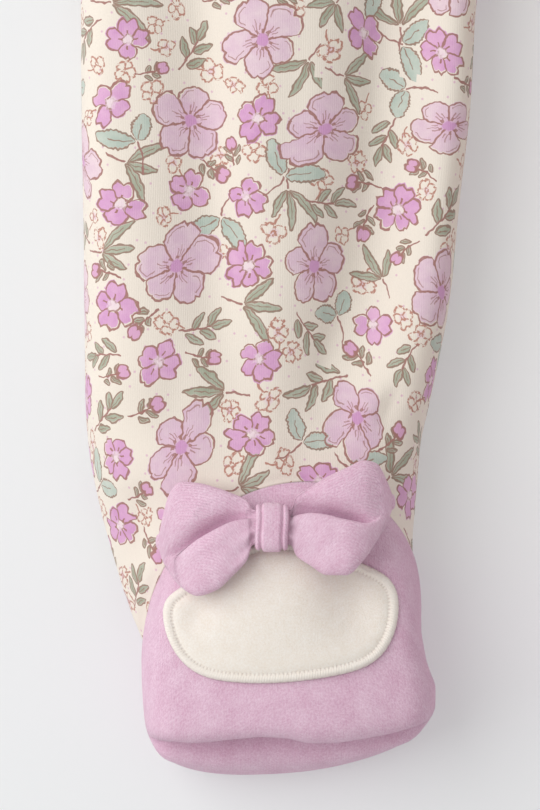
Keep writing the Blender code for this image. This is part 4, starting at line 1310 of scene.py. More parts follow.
def smooth_felt():
    """Felt whose rolled rim is wound with thread, between a row of holes inside it and one outside."""
    paint = Paint("pale_felt")
    place = paint.place_in_mm()
    cloud = paint.noise(place, 0.3, detail=3.0, roughness=0.6)
    nap = paint.noise(place, 1.8, detail=5.0, roughness=0.8)
    colour = paint.mix(paint.ramp(nap, 2.0, cloud * 0.7 - 0.9), *FELT_COLOURS)
    along, inwards, _ = paint.note("rim")
    turns = along * (math.tau / RIM_THREAD_PITCH) + inwards * 2.0 + nap * 2.0
    thread = paint.maths("SINE", turns) * 0.5 + 0.5
    on_rim = paint.inside(abs(inwards - RIM_MIDDLE), 1.0, soft=0.4)
    colour = paint.mix(on_rim * (0.5 - thread * 0.2), colour, RIM_THREAD)
    needle = holes_along(paint, along, abs(inwards - NEEDLE_ROW), half_pitch=0.55, half_length=0.2)
    outer = holes_along(paint, along, inwards, half_pitch=1.1, half_length=0.3)
    holes = paint.larger(needle, outer)
    colour = paint.mix(holes * 0.22, colour, NEEDLE_HOLE)
    height = nap * 0.8 + thread * on_rim * 0.3 - holes * 0.4
    paint.finish(base_color=colour, roughness=0.95, specular_ior_level=0.12)
    paint.finish(sheen_weight=0.3, sheen_roughness=0.5)
    return paint.finish(normal=paint.bumped(height, FELT_RELIEF))


def rib_finish():
    paint = Paint("pink_rib_knit")
    place = paint.place_in_mm()
    x, y, _ = paint.parts(place)
    nap = paint.noise(place, 1.6, detail=4.0, roughness=0.7)
    stitch = paint.maths("PINGPONG", y + paint.maths("PINGPONG", x, 0.6) * 0.8, 0.45) * 1.6
    paint.finish(base_color=paint.mix(nap, *RIB_COLOURS), roughness=0.92, specular_ior_level=0.15)
    paint.finish(sheen_weight=0.3, sheen_roughness=0.5)
    return paint.finish(normal=paint.bumped(stitch * 0.5 + nap * 0.5, RIB_RELIEF))


def thread_finish():
    paint = Paint("cream_thread")
    ply = paint.cloud(2500.0)
    paint.finish(base_color=paint.mix(ply, *THREAD_COLOURS), roughness=0.6, sheen_weight=0.2)
    return paint.finish(normal=paint.bumped(ply, 0.0001))


def stud_finish():
    paint = Paint("pearly_stud_plastic")
    cloud = paint.cloud(320.0)
    paint.finish(base_color=paint.mix(cloud, *STUD_COLOURS), roughness=0.32, coat_weight=0.25)
    return paint.finish(normal=paint.bumped(cloud, 0.00004))


FELT = smooth_felt()
RIB = rib_finish()
CREAM_THREAD = thread_finish()
STUD = stud_finish()
print("finishes:", len(bpy.data.materials))

# %% [markdown]
# ## Fronts and backs
#
# Each half front and half back is cut in one with its leg. The two lie on each other and are sewn along the
# inner and outer leg, so the side seam is a groove halfway up the side of the leg, seen only from low down.

# %% Fronts and backs
STEP = 2.2
FRONT_SEED = 40
BACK_SEED = 50
FRONT_WAVE_DEPTH = 0.32
BACK_WAVE_DEPTH = 0.16
PARTING_REACH = 0.9
SLIPPER_SEAM_DEPTH = 0.6
BACK_SHIFT = (37.0, 61.0)
JERSEY = {"finishes": (PRINTED, WRONG), "thickness": PRINTED_JERSEY, "printed": True}


def part_from(grid, lift):
    """Leaves half a seam's gap between this side of a side seam and the other, and at the centre."""
    across = arc_lengths(grid)
    edge = np.minimum(across, across[:, -1:] - across)
    grid[..., 2] += lift * SEAM_GAP / 2 * bell(edge, PARTING_REACH)
    grid[..., 0] = np.maximum(grid[..., 0], SEAM_GAP / 2)
    grid[..., 2] = np.maximum(grid[..., 2], 0.0)
    return grid


def half_front(side, suffix):
    grid = grid_of(columns_of(FRONT[side], STEP), STEP, SEAM_GAP / 2, SEAM_GAP / 2)
    shared = [(-1, limb_ways(grid, -1), SLIPPER_SEAM_DEPTH)]
    grid = part_from(sewn_form(grid, FRONT_SEED + side, FRONT_WAVE_DEPTH, shared), 1)
    cloth(f"front_{suffix}", "cloth", grid, flat_measure(grid, side), side, **JERSEY)


def half_back(side, suffix):
    grid = grid_of(columns_of(BACK[::-1], STEP), STEP, SEAM_GAP / 2, SEAM_GAP / 2)
    grid = part_from(sewn_form(grid, BACK_SEED + side, BACK_WAVE_DEPTH), -1)
    cloth(f"back_{suffix}", "cloth", grid, flat_measure(grid, side, BACK_SHIFT), side, **JERSEY)


SIDES = ((-1, "right"), (1, "left"))
for side, suffix in SIDES:
    half_front(side, suffix)
    half_back(side, suffix)
print("triangles of one front:", triangles("front_right"))

# %% [markdown]
# ## Slipper and sole
#
# The foot is one form cut in two by the toe seam. That seam wanders a little on the real thing, because the
# sole is eased into the slipper by hand, so it is drawn here as a line of its own and the form is cut along
# it. Below the seam the sole turns up round the toes as a plump band. Under the bow the instep is pressed in
# softly in two places.

# %% Slipper and sole on one form
TOE_SEAM = [
    (25.5, -277.1), (27.4, -282.2), (31.1, -286.2), (35.4, -288.4), (43.4, -290.5), (54.1, -292.1),
    (60.8, -292.1), (66.1, -290.5), (71.5, -290.0), (78.2, -291.0), (86.2, -292.1), (95.6, -291.6),
    (100.9, -289.7),
]
TOE_SEAM_ROW = (len(SLIPPER_ROWS) - 1) * LINES_PER_ROW
TOE_SEAM_REACH = 3.2
TOE_OVERHANG = 0.9
TOE_SEAM_FADE = (26.0, 5.0)
TOE_CORNER = 10.0
FOOT_STEP = STEP * 0.8
INSTEP_DENTS = [
    Fold(-1, 51.8, -231.1, 46.0, -265.2, 8.5, 4.8),
    Fold(-1, 84.6, -249.5, 93.0, -262.5, 3.6, 1.6),
]


def seam_shift(x, y):
    """How far along the foot each point of the toe seam is moved to reach its line, less at both ends."""
    off = np.interp(x, *zip(*TOE_SEAM)) - y + TOE_OVERHANG
    from_corner = np.minimum(x - x[0], x[-1] - x)
    return np.clip(off, -TOE_SEAM_REACH, TOE_SEAM_REACH) * np.clip(from_corner / TOE_CORNER, 0, 1)


def foot_columns():
    """The foot's columns with the toe seam moved to its line, how far down it lies, and their lengths."""
    columns = columns_of(FOOT, FOOT_STEP)
    arcs = arc_lengths(columns)
    shift = seam_shift(columns[:, TOE_SEAM_ROW, 0], columns[:, TOE_SEAM_ROW, 1])
    beside = arcs - arcs[:, TOE_SEAM_ROW, None]
    columns[..., 1] += shift[:, None] * bell(beside, np.where(beside < 0, *TOE_SEAM_FADE))
    top = columns[:, :TOE_SEAM_ROW]
    top[..., 2] -= fold_depth(INSTEP_DENTS, -1, top[..., 0], top[..., 1])
    arcs = arc_lengths(columns)
    return columns, arcs[:, TOE_SEAM_ROW], arcs[:, -1]


print("the toe seam is line", TOE_SEAM_ROW, "of", len(FOOT))

# %% The toe seam's groove, gathers and painted shade
FOOT_SEED = 60
GATHER_SEED = 71
GATHER_WAVES = (4.7, 7.9, 11.3)
GATHER_WIDTH = 5.5
GATHER_DEPTH = 0.45
TOE_GROOVE = 1.7
TOE_SEAM_SINK = ROLL_DEPTH + PUCKER + TOE_GROOVE + 0.2
CORNER_CLEAR = 1.5
CORNER_FADE = 9.0
CORNER_HOLLOW = 0.15
SLIPPER_SHADE_WIDTH = 0.9
FootPart = namedtuple("FootPart", "toe lift wave_depth groove_width bulge bulge_at bulge_width start")
FOOT_PARTS = {
    "slipper": FootPart(-1, 1, 0.28, 1.2, 0.5, 2.6, 1.6, 0.0),
    "sole": FootPart(0, -1, 0.14, 2.3, 0.7, 6.5, 3.2, 60.0),
}


def from_toe_seam(grid, part):
    down = lengths_down(grid)
    return np.abs(down - down[part.toe])


def corner_fade(grid, row):
    """0 at the two corners where the toe seam ends, and 1 from a little way off."""
    away = [np.linalg.norm(grid - grid[row, end], axis=2) for end in (0, -1)]
    return np.clip((np.minimum(*away) - CORNER_CLEAR) / CORNER_FADE, 0, 1)


def toe_hollow(grid, part):
    """The extra groove and gathers at the toe seam, and the plump bulge beside it."""
    from_toe = from_toe_seam(grid, part)
    gather = bell(from_toe, GATHER_WIDTH) * (0.5 + 0.5 * waves(grid, GATHER_SEED, GATHER_WAVES))
    hollow = TOE_GROOVE * bell(from_toe, part.groove_width) + GATHER_DEPTH * gather
    hollow -= part.bulge * bell(from_toe - part.bulge_at, part.bulge_width)
    return hollow * corner_fade(grid, part.toe)


def toe_shade(name, from_toe):
    """How much shade is painted into the cloth's colour at the toe seam: a line on the slipper, a soft band on
    the sole.
    """
    if name == "slipper":
        return bell(from_toe, SLIPPER_SHADE_WIDTH)
    return 0.8 * np.clip((2.8 - from_toe) / 0.9, 0, 1) + 0.3 * bell(from_toe, 5.0)


def foot_measure(grid, side, start):
    """Width over the foot from its middle, and length from the slipper's seam."""
    across = arc_lengths(grid)
    middle = grid.shape[1] // 2
    return np.stack([side * (across - across[:, middle:middle + 1]), -start - lengths_down(grid)], axis=-1)


print("parts of a foot:", ", ".join(FOOT_PARTS))


# %% Slippers and soles
def foot_part(name, grid, toe_ways, side, suffix):
    """The slipper, whose last row is the toe seam, or the sole, whose first row it is."""
    part = FOOT_PARTS[name]
    fade = CORNER_HOLLOW + (1 - CORNER_HOLLOW) * corner_fade(grid, part.toe)
    shared = [(part.toe, toe_ways, TOE_SEAM_SINK)]
    if name == "slipper":
        shared.append((0, limb_ways(grid, 0), SLIPPER_SEAM_DEPTH))
    form = sewn_form(grid, FOOT_SEED + side, part.wave_depth, shared, fade, toe_hollow(grid, part))
    form = part_from(form, part.lift)
    # The shade at the toe seam is painted into the fleece's colour through a note on the cloth.
    measure, shade = foot_measure(form, side, part.start), toe_shade(name, from_toe_seam(form, part))
    finishes, notes = (PINK, PINK_INSIDE), painted_shade_note(shade)
    cloth(f"{name}_{suffix}", "cloth", form, measure, side, finishes, SLIPPER_FLEECE, notes=notes)


def slipper_and_sole(side, suffix):
    columns, seam, total = foot_columns()
    toe_ways = outward(np.swapaxes(columns, 0, 1))[TOE_SEAM_ROW]
    edge, beside_toe = SEAM_GAP / 2, TOE_SEAM_GAP / 2
    for name, start, end in (
        ("slipper", edge, total - seam + beside_toe),
        ("sole", seam + beside_toe, edge),
    ):
        foot_part(name, grid_of(columns, FOOT_STEP, start, end), toe_ways, side, suffix)


for side, suffix in SIDES:
    slipper_and_sole(side, suffix)
print("triangles of one slipper:", triangles("slipper_right"))

# %% [markdown]
# ## Sleeves
#
# A sleeve is cut as one piece and folded round into a tube, so its only long seam lies under the arm. The
# grid starts and ends at that seam, and merging doubles closes it into a tube.

# %% Folds and creases of the sleeves
SLEEVE_FOLDS = [
    Fold(-1, 150, 186, 196, 160, 8, 3.0),
    Fold(1, 146, 178, 200, 172, 8, 3.0),
    Fold(-1, 132, 232, 158, 220, 7, 2.4),
    Fold(1, 128, 240, 160, 226, 7, 2.4),
]
SLEEVE_CREASES = [
    Fold(-1, 176, 196, 206, 150, 4.0, 1.0),
    Fold(-1, 150, 210, 172, 180, 4.5, 1.1),
    Fold(-1, 204, 148, 228, 138, 3.5, 0.8),
    Fold(1, 170, 204, 208, 158, 4.0, 1.0),
    Fold(1, 148, 214, 170, 190, 4.5, 1.0),
    Fold(1, 200, 144, 226, 142, 3.5, 0.8),
]
print("folds and creases of the sleeves:", len(SLEEVE_FOLDS) + len(SLEEVE_CREASES))

# %% Sleeves
SLEEVE_SEED = 80
SLEEVE_WAVE_DEPTH = 0.2
SLEEVE_RINGS = 160
SLEEVE_STATIONS = 81
CUFF_SHARE = 1 - CUFF_LENGTH / math.dist(WRIST_OUTER, SHOULDER_TIP)


def sleeve_axis():
    """The sleeve's direction in plan, from the armhole to the wrist."""
    start = np.add(SHOULDER_TIP, UNDERARM)
    return unit(np.append(np.add(WRIST_OUTER, WRIST_INNER) - start, 0.0))


def sleeve_ring(share, shift, side):
    """A ring of the sleeve from the underarm seam, over the front to the outer edge and back underneath."""
    top = np.array(SHOULDER_TIP) * (1 - share) + np.array(WRIST_OUTER) * share
    low = np.array(UNDERARM) * (1 - share) + np.array(WRIST_INNER) * share
    turned = min(1, share / ARMHOLE_REACH)
    hollow = ARMHOLE_HOLLOW * (1 - turned) ** 2
    outward_way = np.array((1.0, 0.0)) * (1 - turned) + sleeve_axis()[:2] * turned
    place = -np.cos(np.linspace(0, math.pi, SLEEVE_STATIONS))
    half = (1 + place)[:, None] / 2
    plan = top * (1 - half) + low * half + outward_way * shift
    plan[:, 0] -= hollow * (1 - place**2)
    edge = math.dist(top, low) * (1 - np.abs(place)) / 2
    over = BODY_SEAM_Z + (BODY_TOP_Z - BODY_SEAM_Z) * round_share(edge, ROUND_OVER)
    large, small = folded_in(SLEEVE_FOLDS, SLEEVE_CREASES, side, plan[:, 0], plan[:, 1], edge)
    over = over - large - small
    under = BODY_SEAM_Z * (1 - round_share(edge, ROUND_UNDER))
    front = np.column_stack([plan, over])
    back = np.column_stack([plan, under])[1:-1]
    return np.concatenate([front[::-1], back, front[-1:]])


def sleeve(side, suffix):
    shares = np.linspace(0, CUFF_SHARE, SLEEVE_RINGS)
    rings = np.array([sleeve_ring(share, SEAM_GAP if share == 0 else 0.0, side) for share in shares])
    grid = grid_of(columns_of(rings, STEP), STEP)
    grid = sewn_form(grid, SLEEVE_SEED + side, SLEEVE_WAVE_DEPTH)
    grid[..., 2] = np.maximum(grid[..., 2], 0.0)
    grid[:, -1] = grid[:, 0] = (grid[:, 0] + grid[:, -1]) / 2
    measure = np.stack([side * arc_lengths(grid), grid @ sleeve_axis()], axis=-1)
    cloth(f"sleeve_{suffix}", "cloth", grid, measure, side, ring=True, **JERSEY)


for side, suffix in SIDES:
    sleeve(side, suffix)
print("triangles of one sleeve:", triangles("sleeve_right"))

# %% [markdown]
# ## Cuffs and neckband
#
# Rib knit is doubled: the band is folded at its open edge and both its raw edges go into the seam. So its
# section is a long loop, and the band is that loop carried round the wrist or the neck. Its ribs stand up
# side by side all the way round.

# %% Ribbed bands
RIB_PITCH = 2.4
RIB_DEPTH = 0.4
STATIONS_PER_RIB = 6
BAND_CORNER = (0.9, 0.7)
NECK_STATIONS = 71
NECKBAND_WIDTH = 9.0
NECKBAND_GAP = 0.9
NECKBAND_RISE = 0.10
NECKBAND_SLANT = 0.25


def band_section(width):
    """The doubled band's section, from its seam over its fold and back: how far along, and how deep."""
    edge = RIB_DOUBLED / 2
    cut, deep = BAND_CORNER
    turn = np.linspace(0, math.pi, 9)
    fold = np.stack([width - edge + edge * np.sin(turn), edge - edge * np.cos(turn)], axis=-1)
    out = np.linspace((cut, 0.0), (width - edge, 0.0), 8)[:-1]
    back = np.linspace((width - edge, RIB_DOUBLED), (cut, RIB_DOUBLED), 4)[1:]
    return np.concatenate([[(0.0, deep)], out, fold, back, [(0.0, RIB_DOUBLED - deep)], [(0.0, deep)]])


def ribbed_band(node, seam_ring, edge_ring, side):
    """A doubled rib band between the ring at its seam and the ring at its fold, both closed."""
    pair = np.concatenate([seam_ring, edge_ring], axis=1)[None]
    ribs = round(np.linalg.norm(np.diff(seam_ring, axis=0), axis=1).sum() / RIB_PITCH)
    pair = reread(pair, np.linspace(0, 1, ribs * STATIONS_PER_RIB + 1))[0]
    seam_ring, edge_ring = pair[:, :3], pair[:, 3:]
    round_way = (seam_ring + edge_ring) / 2
    step = np.concatenate([round_way[-2:-1], round_way, round_way[1:2]])
    around = unit(step[2:] - step[:-2])
    normal = unit(np.cross(unit(edge_ring - seam_ring), around))
    width = float(np.median(np.linalg.norm(edge_ring - seam_ring, axis=1)))
    rib = RIB_DEPTH * np.cos(np.arange(len(pair)) * math.tau / STATIONS_PER_RIB)
    section = band_section(width)
    middle = RIB_DOUBLED / 2
    rows = []
    for along, depth in section:
        share = along / width
        swell = rib * (1 if depth < middle else -1) * np.clip(abs(depth - middle) / middle, 0, 1)
        line = seam_ring * (1 - share) + edge_ring * share
        rows.append(line + normal * (swell - RIB_DEPTH - depth)[:, None])
    grid = np.array(rows)
    arcs = arc_lengths(round_way[None])[0]
    down = np.concatenate([[0], np.cumsum(np.linalg.norm(np.diff(section, axis=0), axis=1))])
    measure = np.stack(np.broadcast_arrays(arcs[None], down[:, None]), axis=-1)
    cloth(node, "rib", grid, measure, side, (RIB,), ring=True)


def cuff(side, suffix):
    ribbed_band(f"cuff_{suffix}", sleeve_ring(CUFF_SHARE, SEAM_GAP, 0), sleeve_ring(1.0, 0.0, 0), side)


def neck_ring(width):
    """The neckband's ring this far in from its seam: over the front, and back round under the neck."""
    there = rows_at(Yoke, YOKE[:-1], np.linspace(0, len(YOKE) - 2, NECK_STATIONS))
    back_again = there[-2:0:-1]
    front = [(FRONT_NECK_DEPTH, y.neck_angle, y.z_mid, NECKBAND_RISE) for y in there]
    front += [(FRONT_NECK_DEPTH, 180 - y.neck_angle, y.z_mid, NECKBAND_RISE) for y in back_again]
    under = [(BACK_NECK_DEPTH, 180 - y.neck_angle, y.z_under, 0.0) for y in there]
    under += [(BACK_NECK_DEPTH, y.neck_angle, y.z_under, 0.0) for y in back_again]
    places = front + under + front[:1]
    return np.array([
        (*neckline(angle, depth, width, NECKBAND_SLANT), z + rise * width)
        for depth, angle, z, rise in places
    ])


for side, suffix in SIDES:
    cuff(side, suffix)
ribbed_band("neckband", neck_ring(NECKBAND_GAP), neck_ring(NECKBAND_WIDTH), 1)
print("triangles of the neckband:", triangles("neckband"))

# %% [markdown]
# ## Felt half-moon
#
# The felt is laid on the slipper and sewn down by its edge, which the thread pulls in: there is a rounded
# rim, then a groove, then the flat felt. Its grid is a set of rings that run inwards from the outline. They
# are laid on the slipper's softened surface and raised by a height that follows from the distance to the
# outline, with slight waves inside.

# %% Laying one piece on others
def surface_of(items):
    """The faces of several objects, in millimetres, for laying pieces on them."""
    points, faces = [], []
    for item in items:
        start = len(points)
        points += [v.co / MM for v in item.data.vertices]
        faces += [[start + v for v in polygon.vertices] for polygon in item.data.polygons]
    return BVHTree.FromPolygons(points, faces)


def laid_grid(surface, plan):
    """The points of a plan dropped onto a surface. Over a gap in it they keep the height beside the gap."""
    grid = np.zeros((*plan.shape[:2], 3))
    down = Vector((0, 0, -1))
    for i, line in enumerate(plan):
        hits = [surface.ray_cast(Vector((x, y, 200.0)), down)[0] for x, y in line]
        found = [k for k, hit in enumerate(hits) if hit is not None]
        grid[i, :, :2] = line
        if found:
            grid[i, :, 2] = np.interp(range(len(hits)), found, [hits[k].z for k in found])
        else:
            grid[i, :, 2] = grid[i - 1, :, 2]
    return grid


def read_plan(field, x, y, low, step):
    """A field of values over an even plan, read between its points."""
    i = np.clip((x - low[0]) / step, 0, field.shape[1] - 1.001)
    j = np.clip((y - low[1]) / step, 0, field.shape[0] - 1.001)
    k, m = i.astype(int), j.astype(int)
    s, t = i - k, j - m
    near = field[m, k] * (1 - s) + field[m, k + 1] * s
    far = field[m + 1, k] * (1 - s) + field[m + 1, k + 1] * s
    return near * (1 - t) + far * t


LAID_MARGIN = 4
LAID_ROUNDS = 3


def laid_softly(surface, x, y, lift, side, step=1.0):
    """Points of a plan raised square off a surface, which is first softened, as thick cloth bridges it."""
    low = (x.min() - LAID_MARGIN * step, y.min() - LAID_MARGIN * step)
    across = np.arange(low[0], x.max() + (LAID_MARGIN + 1) * step, step)
    down = np.arange(low[1], y.max() + (LAID_MARGIN + 1) * step, step)
    plan = np.stack(np.meshgrid(across * side, down), axis=-1)
    height = laid_grid(surface, plan)[..., 2]
    for _ in range(LAID_ROUNDS):
        height[1:-1] = (height[:-2] + height[1:-1] * 2 + height[2:]) / 4
        height[:, 1:-1] = (height[:, :-2] + height[:, 1:-1] * 2 + height[:, 2:]) / 4
    slope_y, slope_x = np.gradient(height, step)
    z, u, v = (read_plan(field, x, y, low, step) for field in (height, slope_x, slope_y))
    square = unit(np.stack([-u, -v, np.ones_like(u)], axis=-1))
    return np.stack([x, y, z], axis=-1) + square * np.asarray(lift)[..., None]


print("pieces so far:", len(PIECES))

# %% Felt instep
INSTEP_OUTLINE = [
    (45.4, -242.9), (38.9, -246.2), (36.6, -250.2), (36.5, -257.4), (38.6, -264.0), (43.9, -269.3),
    (54.4, -272.2), (70.2, -273.9), (84.6, -273.1), (91.4, -270.3), (95.9, -265.0), (97.9, -259.2),
    (98.2, -254.6), (97.0, -251.4), (93.4, -249.2), (87.0, -244.6), (79.0, -239.2), (69.0, -236.6),
    (57.0, -238.2),
]
OUTLINE_STATIONS = 320
CURVE_POINTS = 40
CURVE_ROUNDS = 60
FELT_THICKNESS = 0.5
FELT_HEIGHT_AT = [0.0, 0.3, 0.7, 1.2, 1.7, 2.1, 2.45, 2.8, 3.3, 4.5]
FELT_HEIGHT = [0.6, 1.2, 1.65, 1.85, 1.75, 1.45, 1.25, 1.35, 1.55, 1.7]
RIM_RINGS = np.array([0.0, 0.15, 0.35, 0.6, 0.9, 1.2, 1.5, 1.8, 2.05, 2.25, 2.45, 2.65, 2.9, 3.3, 3.9, 4.6])
INNER_RINGS = np.linspace(0, 1, 26)[1:]
INNER_REACH = 14.0
FELT_SEED = 91
FELT_WAVES = (9.0, 13.0, 17.0, 6.0)
FELT_WAVE_DEPTH = 0.1
FELT_WAVE_FADE = 4.0


def closed_curve(points, count):
    """A smooth closed line through points, read at even steps. The last point is the first."""
    points = np.array(points)
    loop = np.concatenate([points[-1:], points, points[:2]])
    fine = []
    for a, b, c, d in zip(loop, loop[1:], loop[2:], loop[3:]):
        t = np.linspace(0, 1, CURVE_POINTS, endpoint=False)[:, None]
        fine.append(b + t / 2 * (c - a + t * (2 * a - 5 * b + 4 * c - d + t * (3 * b - a - 3 * c + d))))
    fine = np.concatenate(fine + [fine[0][:1]])
    even = reread(fine[None], np.linspace(0, 1, count + 1))[0][:-1]
    for _ in range(CURVE_ROUNDS):
        even = (np.roll(even, 1, axis=0) + 2 * even + np.roll(even, -1, axis=0)) / 4
    return np.concatenate([even, even[:1]])


def instep_rings():
    """Plan rings from the felt's outline inwards, their distances in from it, and the lengths along it."""
    outline = closed_curve(INSTEP_OUTLINE, OUTLINE_STATIONS)
    around = np.gradient(np.concatenate([outline[-2:-1], outline, outline[1:2]]), axis=0)[1:-1]
    inwards = unit(np.stack([-around[:, 1], around[:, 0]], axis=-1))
    centre = outline[:-1].mean(axis=0)
    rings = [outline + inwards * reach for reach in RIM_RINGS]
    last = rings[-1]
    rings += [centre + (last - centre) * (1 - share) for share in INNER_RINGS]
    reach = np.concatenate([RIM_RINGS, RIM_RINGS[-1] + INNER_RINGS * INNER_REACH])
    return np.array(rings)[:, ::-1], reach, arc_lengths(outline[None])[0, ::-1]


def instep(side, suffix):
    rings, reach, along = instep_rings()
    rolled = np.interp(reach, FELT_HEIGHT_AT, FELT_HEIGHT)[:, None]
    wavy = FELT_WAVE_DEPTH * waves(rings, FELT_SEED, FELT_WAVES)
    height = rolled + wavy * np.clip(reach / FELT_WAVE_FADE, 0, 1)[:, None]
    surface = surface_of([PIECES[f"slipper_{suffix}"]])
    grid = laid_softly(surface, rings[..., 0], rings[..., 1], height, side)
    measure = np.stack([side * grid[..., 0], grid[..., 1]], axis=-1)
    notes = {"rim": np.stack(np.broadcast_arrays(along[None], reach[:, None], 0.0), axis=-1)}
    finishes = (FELT, FELT)
    cloth(f"instep_{suffix}", "felt", grid, measure, side, finishes, FELT_THICKNESS, ring=True, notes=notes)


for side, suffix in SIDES:
    instep(side, suffix)
print("triangles of one felt:", triangles("instep_right"))

# %% [markdown]
# ## Bow
#
# The bow is one folded strip of the slipper's cloth, pinched in its middle by a second, narrow strip. Its
# loops are closed, soft forms, so they are carried along a line of sections from one end to the other. Folds
# fan out from under the knot and fade along the loops.

# %% Bow loops
BOW_AT = (69.7, -232.9, 48.1)
BOW_LEAN = -0.19
BOW_SEED = 33
BOW_WAVES = (11.0, 17.0, 23.0, 8.0)
BOW_WAVE_DEPTH = 0.3
CREASE_REACH = 6.8
CREASE_WALL = 0.9
CREASE_BEND = 1.5
FULL_CREASE = 5.5
LIP = 1.1
TUCK = 0.9
# Where the shade painted along the bow's crease lies, and how far it reaches above the crease.
SHADE_AT = 0.4
SHADE_ABOVE = 1.7
PLEAT_DEPTH = 0.42
PLEATS_AT = 6.5
PLEATS_REACH = 4.5
SQUARENESS = 0.66
FINE_RING_POINTS = 2000
RING_POINTS = 220
RING_SPACING = 0.16
END_DEPTH = 0.9
Loop = namedtuple("Loop", "along upper lower depth droop crease groove")
LOOPS = [
    Loop(-29.7, -1.9, -6.0, 2.4, 7.0, -8.6, 0.0),
    Loop(-28.7, 2.9, -9.0, 5.6, 6.7, -8.0, 0.1),
    Loop(-26.6, 9.4, -12.4, 7.6, 5.9, -7.2, 0.9),
    Loop(-23.7, 11.8, -15.8, 8.4, 5.0, -5.8, 2.8),
    Loop(-19.4, 11.5, -18.0, 9.0, 3.5, -2.9, 4.9),
    Loop(-14.5, 10.3, -16.5, 9.0, 2.2, -0.2, 5.5),
    Loop(-10.1, 8.7, -12.6, 8.4, 1.3, 1.9, 4.6),
    Loop(-6.4, 7.0, -8.5, 7.6, 0.6, 2.8, 2.8),
    Loop(-4.8, 4.6, -4.6, 5.4, 0.2, 2.6, 0.9),
    Loop(0.0, 4.4, -4.4, 5.0, 0.0, 2.0, 0.0),
    Loop(4.8, 4.6, -4.6, 5.4, 0.1, 3.0, 1.0),
    Loop(6.4, 8.0, -7.4, 7.6, 0.1, 3.6, 3.4),
    Loop(10.1, 10.5, -10.0, 8.4, -0.2, 4.0, 5.2),
    Loop(14.5, 13.2, -12.4, 9.0, -1.1, 3.4, 6.2),
    Loop(19.4, 15.5, -12.4, 9.0, -1.6, 2.2, 6.2),
    Loop(24.2, 17.5, -8.3, 8.4, -0.9, 1.6, 3.8),
    Loop(27.5, 16.7, -3.6, 7.2, 0.8, 2.6, 1.2),
    Loop(30.5, 11.6, 1.4, 5.4, 3.6, 5.6, 0.1),
    Loop(31.6, 8.8, 4.2, 2.4, 5.0, 7.0, 0.0),
]
END_ROUNDS = [(0.93, 0.3), (0.8, 0.6), (0.6, 0.8), (0.35, 0.95), (0.0, 1.0)]


def squared_ring(count, half_across, half_out):
    """Points round a closed section that is a little squarer than an ellipse. The last is the first."""
    angle = np.linspace(0, math.tau, count + 1)
    c, s = np.cos(angle), np.sin(angle)
    return (half_across * np.sign(c) * np.abs(c) ** SQUARENESS,
            half_out * np.sign(s) * np.abs(s) ** SQUARENESS)


def bow_pleats(along, place):
    """The depth of the small folds that fan out from under the knot."""
    near = bell(abs(along) - PLEATS_AT, PLEATS_REACH)
    return PLEAT_DEPTH * near * (1 + np.cos(place * 8.5 + math.copysign(1.1, along)))


def bow_section(loop):
    """A ring of the bow, whose front slopes into a crease that the half below laps over, and the shade painted
    along that crease.
    """
    middle, half = (loop.upper + loop.lower) / 2, (loop.upper - loop.lower) / 2
    across, out = squared_ring(FINE_RING_POINTS, half, loop.depth / 2)
    pleats = bow_pleats(loop.along, across / max(half, 0.1))
    across = across + middle
    front = np.clip(out / (loop.depth / 2), 0, 1)
    above = across - loop.crease
    slope = np.clip(1 - above / CREASE_REACH, 0, 1) ** CREASE_BEND
    groove = loop.groove * np.where(above > 0, slope, bell(above, CREASE_WALL))
    groove -= 0.1 * loop.groove * bell(above + 3.0, 2.2)
    lapped = LIP * bell(above + 1.3, 0.8) - TUCK * bell(above, 0.6)
    across = across + lapped * front * loop.groove / FULL_CREASE
    out = out - front * (groove + pleats)
    steps = np.hypot(np.diff(across), np.diff(out)) * (1 + 1.6 * front * bell(above, 2.5))[1:]
    count = np.concatenate([[0], np.cumsum(steps)])
    even = np.linspace(0, count[-1], RING_POINTS + 1)
    # Painted shade: a band along the crease, wider above it, darkens the fleece's colour there.
    shade_width = np.where(above > SHADE_AT, SHADE_ABOVE, 1.0)
    painted_shade = front * loop.groove / FULL_CREASE * bell(above - SHADE_AT, shade_width)
    across, out, painted_shade = (np.interp(even, count, values) for values in (across, out, painted_shade))
    z = out - loop.droop + BOW_LEAN * across
    return np.stack([np.full_like(out, loop.along), across, z, painted_shade], axis=-1)


def closing_rings(ring, way):
    """Ever smaller rings beyond an end of the bow, which round it off."""
    centre = ring[:-1].mean(axis=0)
    return [
        centre + (ring - centre) * size + np.array((way * beyond * END_DEPTH, 0, 0, 0))
        for size, beyond in END_ROUNDS
    ]


def bow_grid():
    """Rings from one end of the bow to the other. The fourth number of each point is the shade painted into
    its colour.
    """
    places = np.arange(0, len(LOOPS) - 0.9, RING_SPACING)
    sections = [bow_section(loop) for loop in rows_at(Loop, LOOPS, places)]
    start, end = closing_rings(sections[0], -1.0), closing_rings(sections[-1], 1.0)
    return np.array(start[::-1] + sections + end)


def set_on_foot(grid):
    """Turns a grid of the bow so that it reads from the outer side of the foot, and moves it there."""
    return grid * (-1, 1, 1) + BOW_AT


def bow_loops(side, suffix):
    grid = bow_grid()
    # The fourth number is the shade painted along the crease, which darkens the fleece's colour.
    grid, painted_shade = grid[..., :3], grid[..., 3]
    grid[..., 2] -= BOW_WAVE_DEPTH * (1 + waves(grid, BOW_SEED, BOW_WAVES)) * (grid[..., 2] > 0)
    measure = np.stack([arc_lengths(grid), grid[..., 0]], axis=-1)
    grid, notes = set_on_foot(grid), painted_shade_note(painted_shade)
    cloth(f"bow_loops_{suffix}", "cloth", grid, measure, side, (PINK_BOW,), ring=True, notes=notes)


for side, suffix in SIDES:
    bow_loops(side, suffix)
print("triangles of one pair of loops:", triangles("bow_loops_right"))

